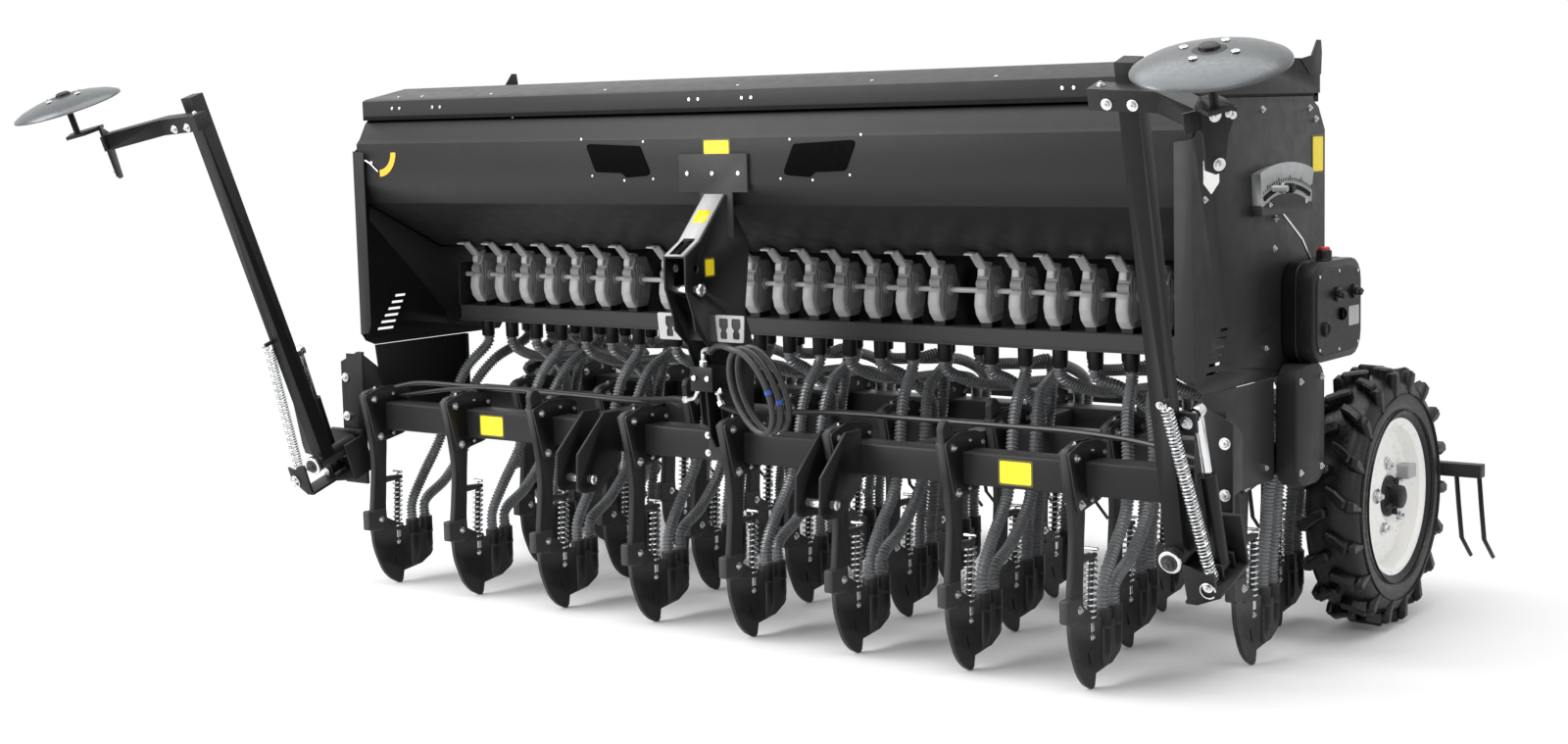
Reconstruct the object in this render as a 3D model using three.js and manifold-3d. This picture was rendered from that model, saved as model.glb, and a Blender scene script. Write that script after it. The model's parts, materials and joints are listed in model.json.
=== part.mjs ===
// Mounted seed drill with a split seed and fertiliser hopper, three rows of sprung hoe coulters and two
// folding markers. Millimetres, +Z up, +X to the drive side, -Y to the hitch. The origin is the centre
// of the bounding box's floor, so the machine frame (front face of the front toolbar at Y = 0) is
// shifted by ORIGIN_Y.
import * as THREE from "three";
import { mergeVertices } from "three/addons/utils/BufferGeometryUtils.js";
import Module from "manifold-3d";

const wasm = await Module();
wasm.setup();

// ---- driving dimensions ------------------------------------------------------------------------------
const ORIGIN_Y = 368.6; // machine Y of the bounding box's middle
const GAP = 0.3; // air left between separate bodies
const ROW_PITCH = 450; // front faces of the three toolbars
const COULTER_PITCH = 375; // along one toolbar
const COULTERS = 8; // on one toolbar
const BAR = 90; // toolbar, square
const BAR_TOP = 613;
const BAR_HALF = 1492;
const REAR_HALF = 1384; // the rear toolbar ends between the wheels
const RAIL_X = 625;
const PANEL_X = 1513.6; // outer face of the side panels
const GEARBOX_X = 1605; // outer face of the drive gearbox
const SHEET = 3; // side panels and hopper walls
const HOPPER_HALF = 1508;
const METER_Y = [415, 610]; // shafts of the seed and the fertiliser meters
const METER_Z = 1010;
const METER_PITCH = 113;
const HITCH_X = 6; // the hitch sits beside the fifth coulter of the front row
const WHEEL_X = 1532;
const WHEEL_Y = 1124;
const WHEEL_R = 381;
const MARKER_TILT = 18.4; // degrees the marker hinge rises towards the rear
const MARKER_X = 1550;
const MARKER_Y = -160;
const MARKER_Z = 440;
const ARM = 50; // marker arm, square tube
const ARM_LEN = 1257;
const MARKER_LEAN = 3.7; // degrees the folded arm leans outwards

// ---- solids ------------------------------------------------------------------------------------------
const deg = (d) => (d * Math.PI) / 180;
const clean = (g) => {
  g.deleteAttribute("normal");
  g.deleteAttribute("uv");
  return mergeVertices(g, 1e-4);
};
const solid = (g) => {
  const c = clean(g);
  return new wasm.Manifold(new wasm.Mesh({
    numProp: 3,
    vertProperties: new Float32Array(c.attributes.position.array),
    triVerts: new Uint32Array(c.index.array),
  }));
};
const join = (parts) => parts.reduce((a, b) => a.add(b));
const cut = (a, ...tools) => tools.reduce((s, t) => s.subtract(t), a);
const box = (x0, x1, y0, y1, z0, z1) =>
  solid(new THREE.BoxGeometry(x1 - x0, y1 - y0, z1 - z0)
    .translate((x0 + x1) / 2, (y0 + y1) / 2, (z0 + z1) / 2));
const outline = (pts) => new THREE.Shape(pts.map(([a, b]) => new THREE.Vector2(a, b)));
const basis = (ex, ey, ez) => new THREE.Matrix4().makeBasis(ex, ey, ez);
const X = new THREE.Vector3(1, 0, 0);
const Y = new THREE.Vector3(0, 1, 0);
const Z = new THREE.Vector3(0, 0, 1);
const extrude = (pts, depth) =>
  new THREE.ExtrudeGeometry(outline(pts), { depth, bevelEnabled: false, steps: 1 });
// plates cut from an outline: in the YZ plane from x0 to x1, in XZ from y0 to y1, in XY from z0 to z1
const plateX = (pts, x0, x1) =>
  solid(extrude(pts, x1 - x0).applyMatrix4(basis(Y, Z, X)).translate(x0, 0, 0));
const plateY = (pts, y0, y1) =>
  solid(extrude(pts, y1 - y0).applyMatrix4(basis(X, Z, Y.clone().negate())).translate(0, y1, 0));
const plateZ = (pts, z0, z1) => solid(extrude(pts, z1 - z0).translate(0, 0, z0));
const rod = (a, b, r, n = 12) => {
  const p = new THREE.Vector3(...a);
  const d = new THREE.Vector3(...b).sub(p);
  const g = new THREE.CylinderGeometry(r, r, d.length(), n);
  g.applyQuaternion(new THREE.Quaternion().setFromUnitVectors(Y, d.clone().normalize()));
  return solid(g.translate(p.x + d.x / 2, p.y + d.y / 2, p.z + d.z / 2));
};
const turned = (profile, n) => solid(new THREE.LatheGeometry(
  profile.map(([r, h]) => new THREE.Vector2(r, h)), n).applyMatrix4(basis(Y, X, Z.clone().negate())));
const tube = (pts, r, n = 6, steps = 8) => {
  const path = new THREE.CatmullRomCurve3(pts.map((p) => new THREE.Vector3(...p)), false, "centripetal");
  const ring = [...Array(n)].map((_, i) => {
    const t = (2 * Math.PI * i) / n;
    return [r * Math.cos(t), r * Math.sin(t)];
  });
  return solid(new THREE.ExtrudeGeometry(outline(ring), { extrudePath: path, steps, bevelEnabled: false }));
};
const mirrored = (s) => s.mirror([1, 0, 0]);

// ---- the finished part -------------------------------------------------------------------------------
const machine = new THREE.Group();
machine.name = "machine";
const COLOURS = {
  black: 0x1c1d1f, grey: 0x77797c, steel: 0xaeb1b4, white: 0xe9e9e4, tyre: 0x18191a,
  hose: 0x303336, zinc: 0xc4c7c9, plate: 0xbdbfc1, plastic: 0x17181a,
};
const add = (name, body, colour) => {
  const m = body.getMesh();
  const g = new THREE.BufferGeometry();
  g.setAttribute("position", new THREE.BufferAttribute(new Float32Array(m.vertProperties), 3));
  g.setIndex(new THREE.BufferAttribute(new Uint32Array(m.triVerts), 1));
  g.computeVertexNormals();
  const mesh = new THREE.Mesh(g, new THREE.MeshStandardMaterial({ color: COLOURS[colour] }));
  mesh.name = name;
  mesh.position.y = -ORIGIN_Y;
  machine.add(mesh);
};
const pair = (name, body, colour) => {
  add(`${name}_right`, body, colour);
  add(`${name}_left`, mirrored(body), colour);
};

// ---- toolbars and coulters ---------------------------------------------------------------------------
const BOOT_TOP = 205;
const BOOT_Y = [112, 172]; // sockets of the seed and the fertiliser tube
const SHANK = [[-92, 640], [-86, 655], [-60, 662], [-10, 662], [-4, 640], [-4, 518], [5, 493], [0, 418],
  [-6, 320], [-10, 262], [-4, 200], [100, 180], [100, 44], [60, 38], [56, 14], [48, 2], [36, 1], [5, 18],
  [-27, 50], [-50, 95], [-66, 140], [-74, 190], [-72, 262], [-65, 320], [-57, 410], [-60, 460],
  [-74, 550]].reverse();
const BOOT = [[88, 46], [137, 48], [197, 74], [197, BOOT_TOP], [88, BOOT_TOP]];
const BRACKET = [[-88, 640], [-50, 500], [-40, 486], [-20, 486], [72, 503], [112, 520], [112, 650],
  [60, 664], [-17, 668], [-84, 648]];
const STRUT = [[30, 170], [54, 170], [60, 372], [34, 372], [33, 362], [-6, 362], [-6, 350], [33, 350]];
const TALL_HEAD = [[-88, 640], [-36, 640], [-36, 670], [-48, 692], [-66, 704], [-84, 700], [-94, 684]];
const coulter = (x, y0, tall) => {
  const plate = (pts, half) => plateX(pts.map(([y, z]) => [y + y0, z]), x - half, x + half);
  const parts = [
    plate(SHANK, 11), plate(BOOT, 23), plate(BRACKET, 17), plate(STRUT, 13.5),
    plate([[-98, 198], [-30, 198], [-30, 264], [-98, 264]], 14.5),
  ];
  if (tall) parts.push(plate(TALL_HEAD, 11));
  return join(parts);
};
const ROWS = [["front", -1437.5, [2, 6]], ["middle", -1187.5, [2, 5]], ["rear", -1312.5, [1, 6]]];
const coulterX = ROWS.map(([, x0]) => [...Array(COULTERS)].map((_, i) => x0 + COULTER_PITCH * i));
ROWS.forEach(([name, , tall], r) => {
  const y0 = ROW_PITCH * r;
  const half = r === 2 ? REAR_HALF : BAR_HALF;
  const bar = box(-half, half, y0, y0 + BAR, BAR_TOP - BAR, BAR_TOP);
  const coulters = coulterX[r].map((x, i) => coulter(x, y0, tall.includes(i)));
  add(`${name}_row`, join([bar, ...coulters]), "black");
});

// rails that tie the three toolbars together
for (const [name, r] of [["front_rail", 0], ["rear_rail", 1]]) {
  pair(name, box(RAIL_X - 30, RAIL_X + 30, ROW_PITCH * r + BAR + GAP, ROW_PITCH * (r + 1) - GAP,
    BAR_TOP - 80, BAR_TOP - 5), "black");
}

// ---- side panels, hopper and lid ---------------------------------------------------------------------
const upper = [[-11, 842], [-11, 1437], [8, 1449], [52, 1512], [96, 1534], [716, 1534], [760, 1512],
  [803, 1449], [803, 1000], [640, 799], [47, 799], [8, 815]];
const louvres = [0, 1, 2, 3, 4, 5].map((i) =>
  plateX([[150 - 17 * i, 958 - 21 * i], [196 - 12 * i, 958 - 21 * i], [192 - 12 * i, 950 - 21 * i],
    [146 - 17 * i, 950 - 21 * i]], 1400, 1600));
const skin = (pts, x = PANEL_X) => plateX(pts, x - SHEET, x);
const panel = join([
  cut(skin(upper), ...louvres),
  plateY([[1464, 870], [1477, 842], [PANEL_X, 837], [PANEL_X, 1442], [1464, 1436]], -11, -11 + SHEET),
  box(PANEL_X - 40, PANEL_X - 1, 803 - SHEET, 803, 1000, 1449),
  plateX([[38, 1214], [382, 878], [382, 840], [640, 840], [640, 1104], [362, 1104], [46, 1257]],
    PANEL_X - 13, PANEL_X - 1),
]);
pair("side_panel", panel, "black");
pair("lower_panel", join([
  skin([[120, 797], [47, 797], [60, 700], [100, 628], [198, 522], [468, 522], [468, 797]]),
  box(PANEL_X - 20, PANEL_X - 1, 468 - SHEET, 468, 522, 797),
]), "black");

const SHELL = [[60, 1545], [44, 1530], [16, 1480], [2, 1465], [2, 1336], [20, 1298], [34, 1271],
  [362, 1112], [468, 1112], [510, 1190], [552, 1112], [662, 1112], [770, 1271], [790, 1336], [790, 1465],
  [770, 1490], [744, 1530], [736, 1545]];
const INNER = [[56, 1560], [48, 1529], [19, 1478], [5, 1464], [5, 1337], [23, 1299], [36, 1274], [363, 1115],
  [466, 1115], [510, 1196], [554, 1115], [660, 1115], [767, 1272], [787, 1337], [787, 1464], [768, 1488],
  [741, 1529], [736, 1560]];
const hopper = cut(plateX(SHELL, -HOPPER_HALF, HOPPER_HALF),
  plateX(INNER, -HOPPER_HALF + SHEET, HOPPER_HALF - SHEET));
add("hopper", hopper, "black");
add("hopper_divider", box(-1504, 1504, 508.5, 511.5, 1197, 1500), "black");

const LID = [[40, 1550], [40, 1603], [52, 1609], [234, 1644], [766, 1644], [774, 1636], [774, 1550]];
const LID_IN = [[43, 1540], [43, 1601], [53, 1606], [235, 1641], [765, 1641], [771, 1635], [771, 1540]];
const ear = [[640, 1642], [716, 1652], [752, 1694], [774, 1694], [780, 1660], [774, 1600], [700, 1600]];
const lid = join([
  cut(plateX(LID, -1512, 1512), plateX(LID_IN, -1509, 1509)),
  plateX(ear, 1509, 1515), plateX(ear, -1515, -1509),
]);
add("lid", lid, "black");

// ---- meters, their beams and the tubes to the coulters ------------------------------------------------
const meterX = [...[0, 1, 2, 3, 4].map((i) => (i + 0.5) * METER_PITCH),
  ...[0, 1, 2, 3, 4, 5, 6].map((i) => 667 + METER_PITCH * i)];
const allMeters = [...meterX.map((x) => -x).reverse(), ...meterX];
const METER = [[-58, 40], [-28, 78], [30, 76], [62, 10], [28, -88], [-20, -92], [-54, -50]];
const LEVER = [[-40, 60], [-96, 116], [-118, 112], [-96, 104], [-50, 50]];
METER_Y.forEach((y0, k) => {
  const s = k ? -1 : 1;
  const facing = (pts) => {
    const turnedPts = pts.map(([y, z]) => [y0 + s * y, METER_Z + z]);
    return s > 0 ? turnedPts : turnedPts.reverse();
  };
  add(k ? "fertiliser_meters" : "seed_meters", join([
    rod([-1440, y0, METER_Z], [1440, y0, METER_Z], 9, 6),
    ...allMeters.flatMap((x) =>
      [plateX(facing(METER), x - 26, x + 26), plateX(facing(LEVER), x - 13, x + 13)]),
  ]), "grey");
});
const drop = allMeters.map((x, i) => [x, -1437.5 + 125 * i]);
const rowOf = (x) => coulterX.findIndex((xs) => xs.some((v) => Math.abs(v - x) < 1));
METER_Y.forEach((y0, k) => {
  const beam = box(-1440, 1440, y0 - 34, y0 + 34, 856, 906);
  const parts = [beam];
  drop.forEach(([xm, xc]) => {
    const r = rowOf(xc);
    const yb = ROW_PITCH * r + BOOT_Y[k];
    const zb = BOOT_TOP + GAP;
    const lift = k ? 40 : 0;
    const side = xc + 44; // past the coulter's own head
    const mid = r === 0
      ? k ? [[xm + 0.4 * (xc - xm), 475, 710], [xc, 412, 600], [xc, 385, 440], [xc, 275, 318]]
        : [[xm + 0.4 * (xc - xm), 335, 690], [xc, 250, 450], [xc, 165, 340]]
      : [...(r === 1 ? [[(xm + side) / 2, y0 + 60 + lift / 2, 742 + lift]]
        : [[(xm + side) / 2, y0 + 130, 720 + lift], [side, yb - 110, 690 + lift]]),
      [side, yb + 15, 645 + lift / 4], [xc + 10, yb + 24, 480], [xc + 2, yb + 12, 335]];
    parts.push(tube([[xm, y0, 858], [xm, y0, 790], ...mid, [xc, yb, zb + 50], [xc, yb, zb]], 17, 5, 8));
  });
  add(k ? "fertiliser_tubes" : "seed_tubes", join(parts), "hose");
});

// ---- headstock, lower link brackets ------------------------------------------------------------------
const TOWER = [[-50, 640], [-62, 760], [-110, 877], [-163, 923], [-173, 973], [-202, 1045], [-201, 1138],
  [-135, 1176], [-14, 1303], [0, 1303], [36, 1238], [94, 1156], [65, 956], [90, 895], [101, 835], [95, 622],
  [-10, 622]].reverse();
const TOWER_SIDES = [-39, 36]; // the right plate keeps clear of the fifth coulter
const headstock = join([
  cut(join(TOWER_SIDES.map((x) => plateX(TOWER, x - 3, x + 3))),
    rod([-60, -155, 1100], [60, -155, 1100], 12, 12)),
  plateX([[-201, 1138], [-135, 1176], [-14, 1303], [-14, 1297], [-135, 1170], [-201, 1132]], -42, 39),
  box(-39, 36, 40, 46, 622, 950),
  box(-134, 116, -8, -2, 1310, 1420), box(-60, 60, -8, -2, 1180, 1330),
  box(-151, 169, -104, -98, 890, 966),
  box(-50, 39, -14, -GAP, 530, 650), box(-50, 39, -14, 95, BAR_TOP + 1, BAR_TOP + 11),
  rod([-60, -159, 1041], [60, -159, 1041], 12.5, 12),
]);
add("headstock", headstock.translate([HITCH_X, 0, 0]), "black");

const LINK = [[0, 652], [0, 500], [-100, 420], [-170, 422], [-190, 428], [-202, 445], [-196, 542],
  [-75, 652]];
const linkPlate = (x) => plateX(LINK.map(([y, z]) => [y - GAP, z]), x - 4, x + 4);
const link = join([linkPlate(403), linkPlate(485), rod([387, -147, 462], [505, -147, 462], 13, 10)]);
add("lower_link_right", link.translate([HITCH_X, 0, 0]), "black");
add("lower_link_left", mirrored(link).translate([HITCH_X, 0, 0]), "black");

// ---- drive: gearbox, chain guard, rate scale, meter shafts ----------------------------------------------
const rounded = (y0, y1, z0, z1, r, n = 4) => {
  const pts = [];
  const corners = [[y1 - r, z1 - r, 0], [y0 + r, z1 - r, 90], [y0 + r, z0 + r, 180], [y1 - r, z0 + r, 270]];
  for (const [cy, cz, a0] of corners) {
    for (let i = 0; i <= n; i++) {
      const a = deg(a0 + (90 * i) / n);
      pts.push([cy + r * Math.cos(a), cz + r * Math.sin(a)]);
    }
  }
  return pts;
};
add("drive_gearbox", join([
  plateX(rounded(512, 842, 830, 1100, 65), PANEL_X + GAP, GEARBOX_X),
  rod([GEARBOX_X - 30, 655, 1090], [GEARBOX_X - 30, 655, 1128], 21, 14),
]), "plastic");
add("chain_guard", plateX(rounded(476, 661, 497, 829, 60, 4), PANEL_X + GAP, PANEL_X + 62), "black");

// a shallow arc plate on a bracket that stands off the side panel
const SCALE_Y = 494;
const arcPoints = (half, sag, top, n = 8) => [...Array(n + 1)].map((_, i) => {
  const r = (half * half + sag * sag) / (2 * sag);
  const a = Math.asin(half / r) * (1 - (2 * i) / n);
  return [SCALE_Y + r * Math.sin(a), top - r + r * Math.cos(a)];
});
add("rate_scale", join([
  plateX([...arcPoints(170, 23, 1370), ...arcPoints(157, 36, 1330).reverse()], PANEL_X + 25, PANEL_X + 28),
  plateX([...arcPoints(165, 22, 1364), [335, 1262], [360, 1236], [630, 1236], [655, 1262]],
    PANEL_X + GAP, PANEL_X + 25.5),
  rod([PANEL_X + 20, 400, 1304], [PANEL_X + 70, 400, 1304], 9, 10),
]), "plate");

// ---- rear: harrow, walkway, wheel arms and wheels -------------------------------------------------------
const REAR_FACE = 2 * ROW_PITCH + BAR + GAP; // behind the rear toolbar
const tine = (x) => tube([[x, 1550, 400], [x, 1585, 250], [x, 1622, 142], [x, 1683.8, 112]], 8, 4, 3);
const tinePairs = [...Array(14)].map((_, i) => 1655 - (3310 * i) / 13);
pair("rear_arm", plateX([[REAR_FACE, 580], [REAR_FACE, 520], [1380, 520], [1500, 384], [1529, 384],
  [1529, 440], [1448, 580]], 367, 383), "black");
add("harrow", join([
  box(-1702, 1702, 1530, 1570, 381, 421), ...tinePairs.flatMap((x) => [tine(x - 35), tine(x + 35)]),
]), "black");
add("walkway", join([
  box(-1350, 1350, 1240, 1440, 600, 606), box(-1350, 1350, 1240, 1243, 581, 603),
  box(-1350, 1350, 1437, 1440, 581, 603),
]), "black");
pair("wheel_arm", join([
  plateX([[REAR_FACE, 613], [REAR_FACE, 520], [1090, 340], [1150, 330], [1165, 420], [1080, 613]],
    1385, 1397),
  rod([1390, WHEEL_Y, WHEEL_R], [1590, WHEEL_Y, WHEEL_R], 20, 12),
]), "black");
const TYRE = [[226, -68], [300, -85], [366, -78], [381, -57], [381, 57], [366, 78], [300, 85], [226, 68],
  [226, -68]];
const RIM = [[22, -10], [190, 8], [206, -68], [225.5, -68], [225.5, 68], [212, 68], [200, 22], [70, 50],
  [22, 50], [22, -10]];
const wheelPiece = (profile) => turned(profile, 24).translate([WHEEL_X, WHEEL_Y, WHEEL_R]);
pair("tyre", wheelPiece(TYRE), "tyre");
pair("rim", wheelPiece(RIM), "white");

// ---- markers -----------------------------------------------------------------------------------------
// Local frame at the hinge: n outwards, a along the hinge to the rear, u up the folded arm.
const axisA = new THREE.Vector3(0, Math.cos(deg(MARKER_TILT)), Math.sin(deg(MARKER_TILT)));
const axisU = new THREE.Vector3(0, -Math.sin(deg(MARKER_TILT)), Math.cos(deg(MARKER_TILT)));
const toMachine = basis(X, axisA, axisU).setPosition(MARKER_X, MARKER_Y, MARKER_Z);
const placed = (s) => s.transform(toMachine.elements);
const leaning = (s) => placed(s.rotate([0, MARKER_LEAN, 0]));
// square to the cross arm's end
const atHead = (s) => s.rotate([0, 0, -37.7]).translate([265, -170, 0]);
const HUB = [69.4, -19.6]; // disc axis, out from the end plate and across it
const SPRING = { top: [50, -40, 428], foot: [98, -40, -52] };
const RAM = { top: [65, 80, 346], foot: [62, 80, -74] };
const along = (p, q, t) => p.map((v, i) => v + (q[i] - v) * t);
const crossPin = (p, r, half, n = 10) => rod([p[0], p[1] - half, p[2]], [p[0], p[1] + half, p[2]], r, n);

pair("marker_bracket", join([
  placed(join([
    plateZ([[30, -66], [62, -66], [104, -24], [104, 160], [-44, 160], [-44, 60], [30, 40]], -106, -98),
    plateY([[36, -104], [62, -104], [114, -62], [118, -52], [118, -12], [95, -20], [57, -4], [36, 0]],
      -66, -58),
    box(-44, -36, 60, 150, -102, 20), box(-44, 104, 138, 150, -106, 36),
    rod([0, -46, 0], [0, 190, 0], 14, 16), rod([0, -52, 0], [0, -44, 0], 30, 16),
    rod([98, -62, -52], [98, -18, -52], 7, 10), crossPin(RAM.foot, 9, 40),
    box(40, 84, 43, 50, -102, -54), box(40, 84, 110, 117, -102, -54),
  ])),
  plateY([[1516, 335], [1620, 335], [1620, 742], [1540, 778], [1516, 778]], -10, 0),
  plateX([[-4, 540], [90, 560], [90, 700], [-4, 770]], 1516, 1600),
]), "black");
pair("marker_arm", leaning(join([
  cut(join([
    box(-ARM / 2, ARM / 2, -ARM / 2, ARM / 2, 10, ARM_LEN), rod([0, -38, 0], [0, 130, 0], 27, 16),
    plateY([[20, 360], [20, 20], [30, 8], [84, 20], [84, 50]], -4, 4),
  ]), box(-21, 21, -21, 21, 30, ARM_LEN + 10), rod([0, -40, 0], [0, 152, 0], 15, 16)),
  rod([20, -62, 430], [20, -22, 430], 7, 8),
  box(-14, 68, 22, 30, 324, 374), rod([42.5, 24, 349.5], [42.5, 59, 349.5], 9, 10),
  plateZ([[-72, -75], [97, -75], [252, -186], [280, -147], [114, -24], [-72, -24]], 1162, 1212),
  atHead(join([
    plateX([[-18, 1244], [-19, 1078], [2, 1065], [24, 1065], [39, 1143], [66, 1200]].reverse(), -4, 4),
    plateX([[-57, 1168], [30, 1168], [30, 1214], [-57, 1214]], -9, -3),
    plateZ([[-4, -17], [40, -50], [100, -50], [100, 10], [40, 20], [-4, 20]], 1232, 1242),
    rod([...HUB, 1235], [...HUB, 1352], 10, 10),
  ])),
])), "black");
const DISC = [[12, 18], [70, 16], [168, -16], [170, -13], [72, 20], [12, 22], [12, 18]];
pair("marker_disc", leaning(atHead(join([
  turned(DISC, 24).rotate([0, -90, 0]).translate([...HUB, 1346]),
  cut(rod([...HUB, 1310], [...HUB, 1366], 34, 16), rod([...HUB, 1300], [...HUB, 1372], 12, 16)),
]))), "steel");
pair("ram_barrel", placed(cut(join([
  rod(along(RAM.foot, RAM.top, 0.03), along(RAM.foot, RAM.top, 0.6), 23, 14),
  crossPin(RAM.foot, 18, 20, 12),
]), crossPin(RAM.foot, 9.5, 30), rod(along(RAM.foot, RAM.top, 0.12), RAM.top, 14.5, 12))), "black");
pair("ram_rod", placed(cut(join([
  rod(along(RAM.foot, RAM.top, 0.48), along(RAM.foot, RAM.top, 0.97), 14, 12),
  crossPin(RAM.top, 18, 16, 12),
]), crossPin(RAM.top, 9.5, 30))), "zinc");
pair("marker_spring", placed(join([
  rod(along(SPRING.foot, SPRING.top, 0.05), along(SPRING.foot, SPRING.top, 0.95), 14, 10),
])), "zinc");

// ---- hydraulics --------------------------------------------------------------------------------------
add("valve_block", join([
  box(20, 100, -165, -90, 752, 822),
  plateX([[-84, 610], [-60, 575], [-14.5, 575], [-14.5, 760], [-98, 760]], 17, 25),
]), "plastic");
const coil = [...Array(31)].map((_, i) => {
  const t = (2 * Math.PI * i) / 12;
  return [258 + 70 * Math.sin(t) - 42 * Math.cos(t), -215 + 3.2 * i, 768 + 116 * Math.cos(t)];
});
add("hose_coil", tube(coil, 9, 5, 32), "hose");

export default machine;
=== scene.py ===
"""Mounted seed drill: finishes, castings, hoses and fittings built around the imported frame."""

import json
import logging
import math
from dataclasses import dataclass
from enum import Enum
from typing import Iterable, Sequence

import bpy
import bmesh
from mathutils import Matrix, Vector


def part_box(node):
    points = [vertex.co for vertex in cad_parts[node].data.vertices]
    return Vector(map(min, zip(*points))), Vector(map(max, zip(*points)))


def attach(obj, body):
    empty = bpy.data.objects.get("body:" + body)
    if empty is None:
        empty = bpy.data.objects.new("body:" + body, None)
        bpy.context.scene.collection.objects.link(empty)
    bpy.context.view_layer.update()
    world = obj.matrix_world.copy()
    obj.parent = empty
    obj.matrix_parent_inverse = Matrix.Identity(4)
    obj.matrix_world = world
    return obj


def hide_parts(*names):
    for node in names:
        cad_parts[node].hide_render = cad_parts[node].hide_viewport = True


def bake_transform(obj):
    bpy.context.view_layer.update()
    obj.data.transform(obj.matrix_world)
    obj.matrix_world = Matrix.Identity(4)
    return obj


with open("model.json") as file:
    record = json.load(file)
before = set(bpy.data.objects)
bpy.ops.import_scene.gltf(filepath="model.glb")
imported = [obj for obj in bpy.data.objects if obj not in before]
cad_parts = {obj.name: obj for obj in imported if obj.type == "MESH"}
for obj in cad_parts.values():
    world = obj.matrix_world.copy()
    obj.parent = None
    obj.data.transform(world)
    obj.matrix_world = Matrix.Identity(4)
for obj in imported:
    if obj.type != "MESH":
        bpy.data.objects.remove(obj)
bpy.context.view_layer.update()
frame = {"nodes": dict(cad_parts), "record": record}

LOG = logging.getLogger("seed_drill")
Outline = Sequence[tuple[float, float]]
Point = Sequence[float]

MM = 0.001
HOPPER_FRONT = 0.002  # machine Y of the hopper's front sheet
ORIGIN_Y = HOPPER_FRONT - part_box("hopper")[0].y  # the toolbars' front face is machine Y = 0
ROW_PITCH = 450.0
COULTER_PITCH = 375.0
COULTERS = 8
ROW_STARTS = {"front": -1437.5, "middle": -1187.5, "rear": -1312.5}
TALL_HEADS = {"front": (2, 6), "middle": (2, 5), "rear": (1, 6)}
BAR = 90.0
BAR_TOP = 613.0
PANEL_X = 1513.6
METER_Z = 1010.0
METER_Y = {"seed": 415.0, "fertiliser": 610.0}
METER_PITCH = 113.0
HITCH_X = 6.0
BOOT_TOP = 205.0
BOOT_Y = {"seed": 112.0, "fertiliser": 172.0}
SIDES = {"right": 1, "left": -1}


def spot(x: float, y: float, z: float) -> Vector:
    """Returns the point at machine millimetres x, y, z in the part's frame, in metres."""
    return Vector((x * MM, y * MM - ORIGIN_Y, z * MM))


class Plane(Enum):
    """The plane that a plate's outline is drawn in, named by the axis across it."""

    X = Matrix(((0, 0, 1), (1, 0, 0), (0, 1, 0)))
    Y = Matrix(((1, 0, 0), (0, 0, -1), (0, 1, 0)))
    Z = Matrix(((1, 0, 0), (0, 1, 0), (0, 0, 1)))


# ---- outlines -------------------------------------------------------------------------------------


def arc(centre: tuple[float, float], radius: float, start: float, end: float, steps: int = 6
        ) -> list[tuple[float, float]]:
    """Points of an arc.

    Args:
        centre: centre of the arc.
        radius: its radius.
        start: first angle in degrees.
        end: last angle in degrees.
        steps: number of chords.

    Returns:
        The steps + 1 points from start to end.
    """
    turn = (end - start) / steps
    return [(centre[0] + radius * math.cos(math.radians(start + turn * i)),
             centre[1] + radius * math.sin(math.radians(start + turn * i))) for i in range(steps + 1)]


def filleted(points: Outline, radius: float, steps: int = 3) -> list[tuple[float, float]]:
    """Rounds every corner of a closed outline.

    Args:
        points: corners in order.
        radius: fillet radius, shortened where a side has no room for it.
        steps: chords in each fillet.

    Returns:
        The outline with its corners replaced by arcs.
    """
    corners = [Vector(p) for p in points]
    rounded: list[tuple[float, float]] = []
    for i, corner in enumerate(corners):
        back = corners[i - 1] - corner
        ahead = corners[(i + 1) % len(corners)] - corner
        half = max(back.angle(ahead, math.pi) / 2, 0.05)
        reach = min(radius / math.tan(half), 0.45 * back.length, 0.45 * ahead.length)
        first = corner + back.normalized() * reach
        last = corner + ahead.normalized() * reach
        for k in range(steps + 1):
            t = k / steps
            p = first * (1 - t) ** 2 + corner * (2 * t * (1 - t)) + last * t ** 2
            rounded.append((p.x, p.y))
    return rounded


def smooth_path(points: Sequence[Point], steps: int = 6) -> list[Vector]:
    """Samples a centripetal Catmull-Rom curve through the points.

    Args:
        points: points the curve passes through.
        steps: samples from one point to the next.

    Returns:
        The sampled points.
    """
    knots = [Vector(p) for p in points]
    knots = [2 * knots[0] - knots[1], *knots, 2 * knots[-1] - knots[-2]]
    samples: list[Vector] = []
    for p0, p1, p2, p3 in zip(knots, knots[1:], knots[2:], knots[3:]):
        t0 = 0.0
        t1 = t0 + math.sqrt((p1 - p0).length)
        t2 = t1 + math.sqrt((p2 - p1).length)
        t3 = t2 + math.sqrt((p3 - p2).length)
        for k in range(steps):
            t = t1 + (t2 - t1) * k / steps
            a1 = p0.lerp(p1, (t - t0) / (t1 - t0))
            a2 = p1.lerp(p2, (t - t1) / (t2 - t1))
            a3 = p2.lerp(p3, (t - t2) / (t3 - t2))
            b1 = a1.lerp(a2, (t - t0) / (t2 - t0))
            b2 = a2.lerp(a3, (t - t1) / (t3 - t1))
            samples.append(b1.lerp(b2, (t - t1) / (t2 - t1)))
    samples.append(knots[-2].copy())
    return samples


# ---- modelling bench --------------------------------------------------------------------------------


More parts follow.
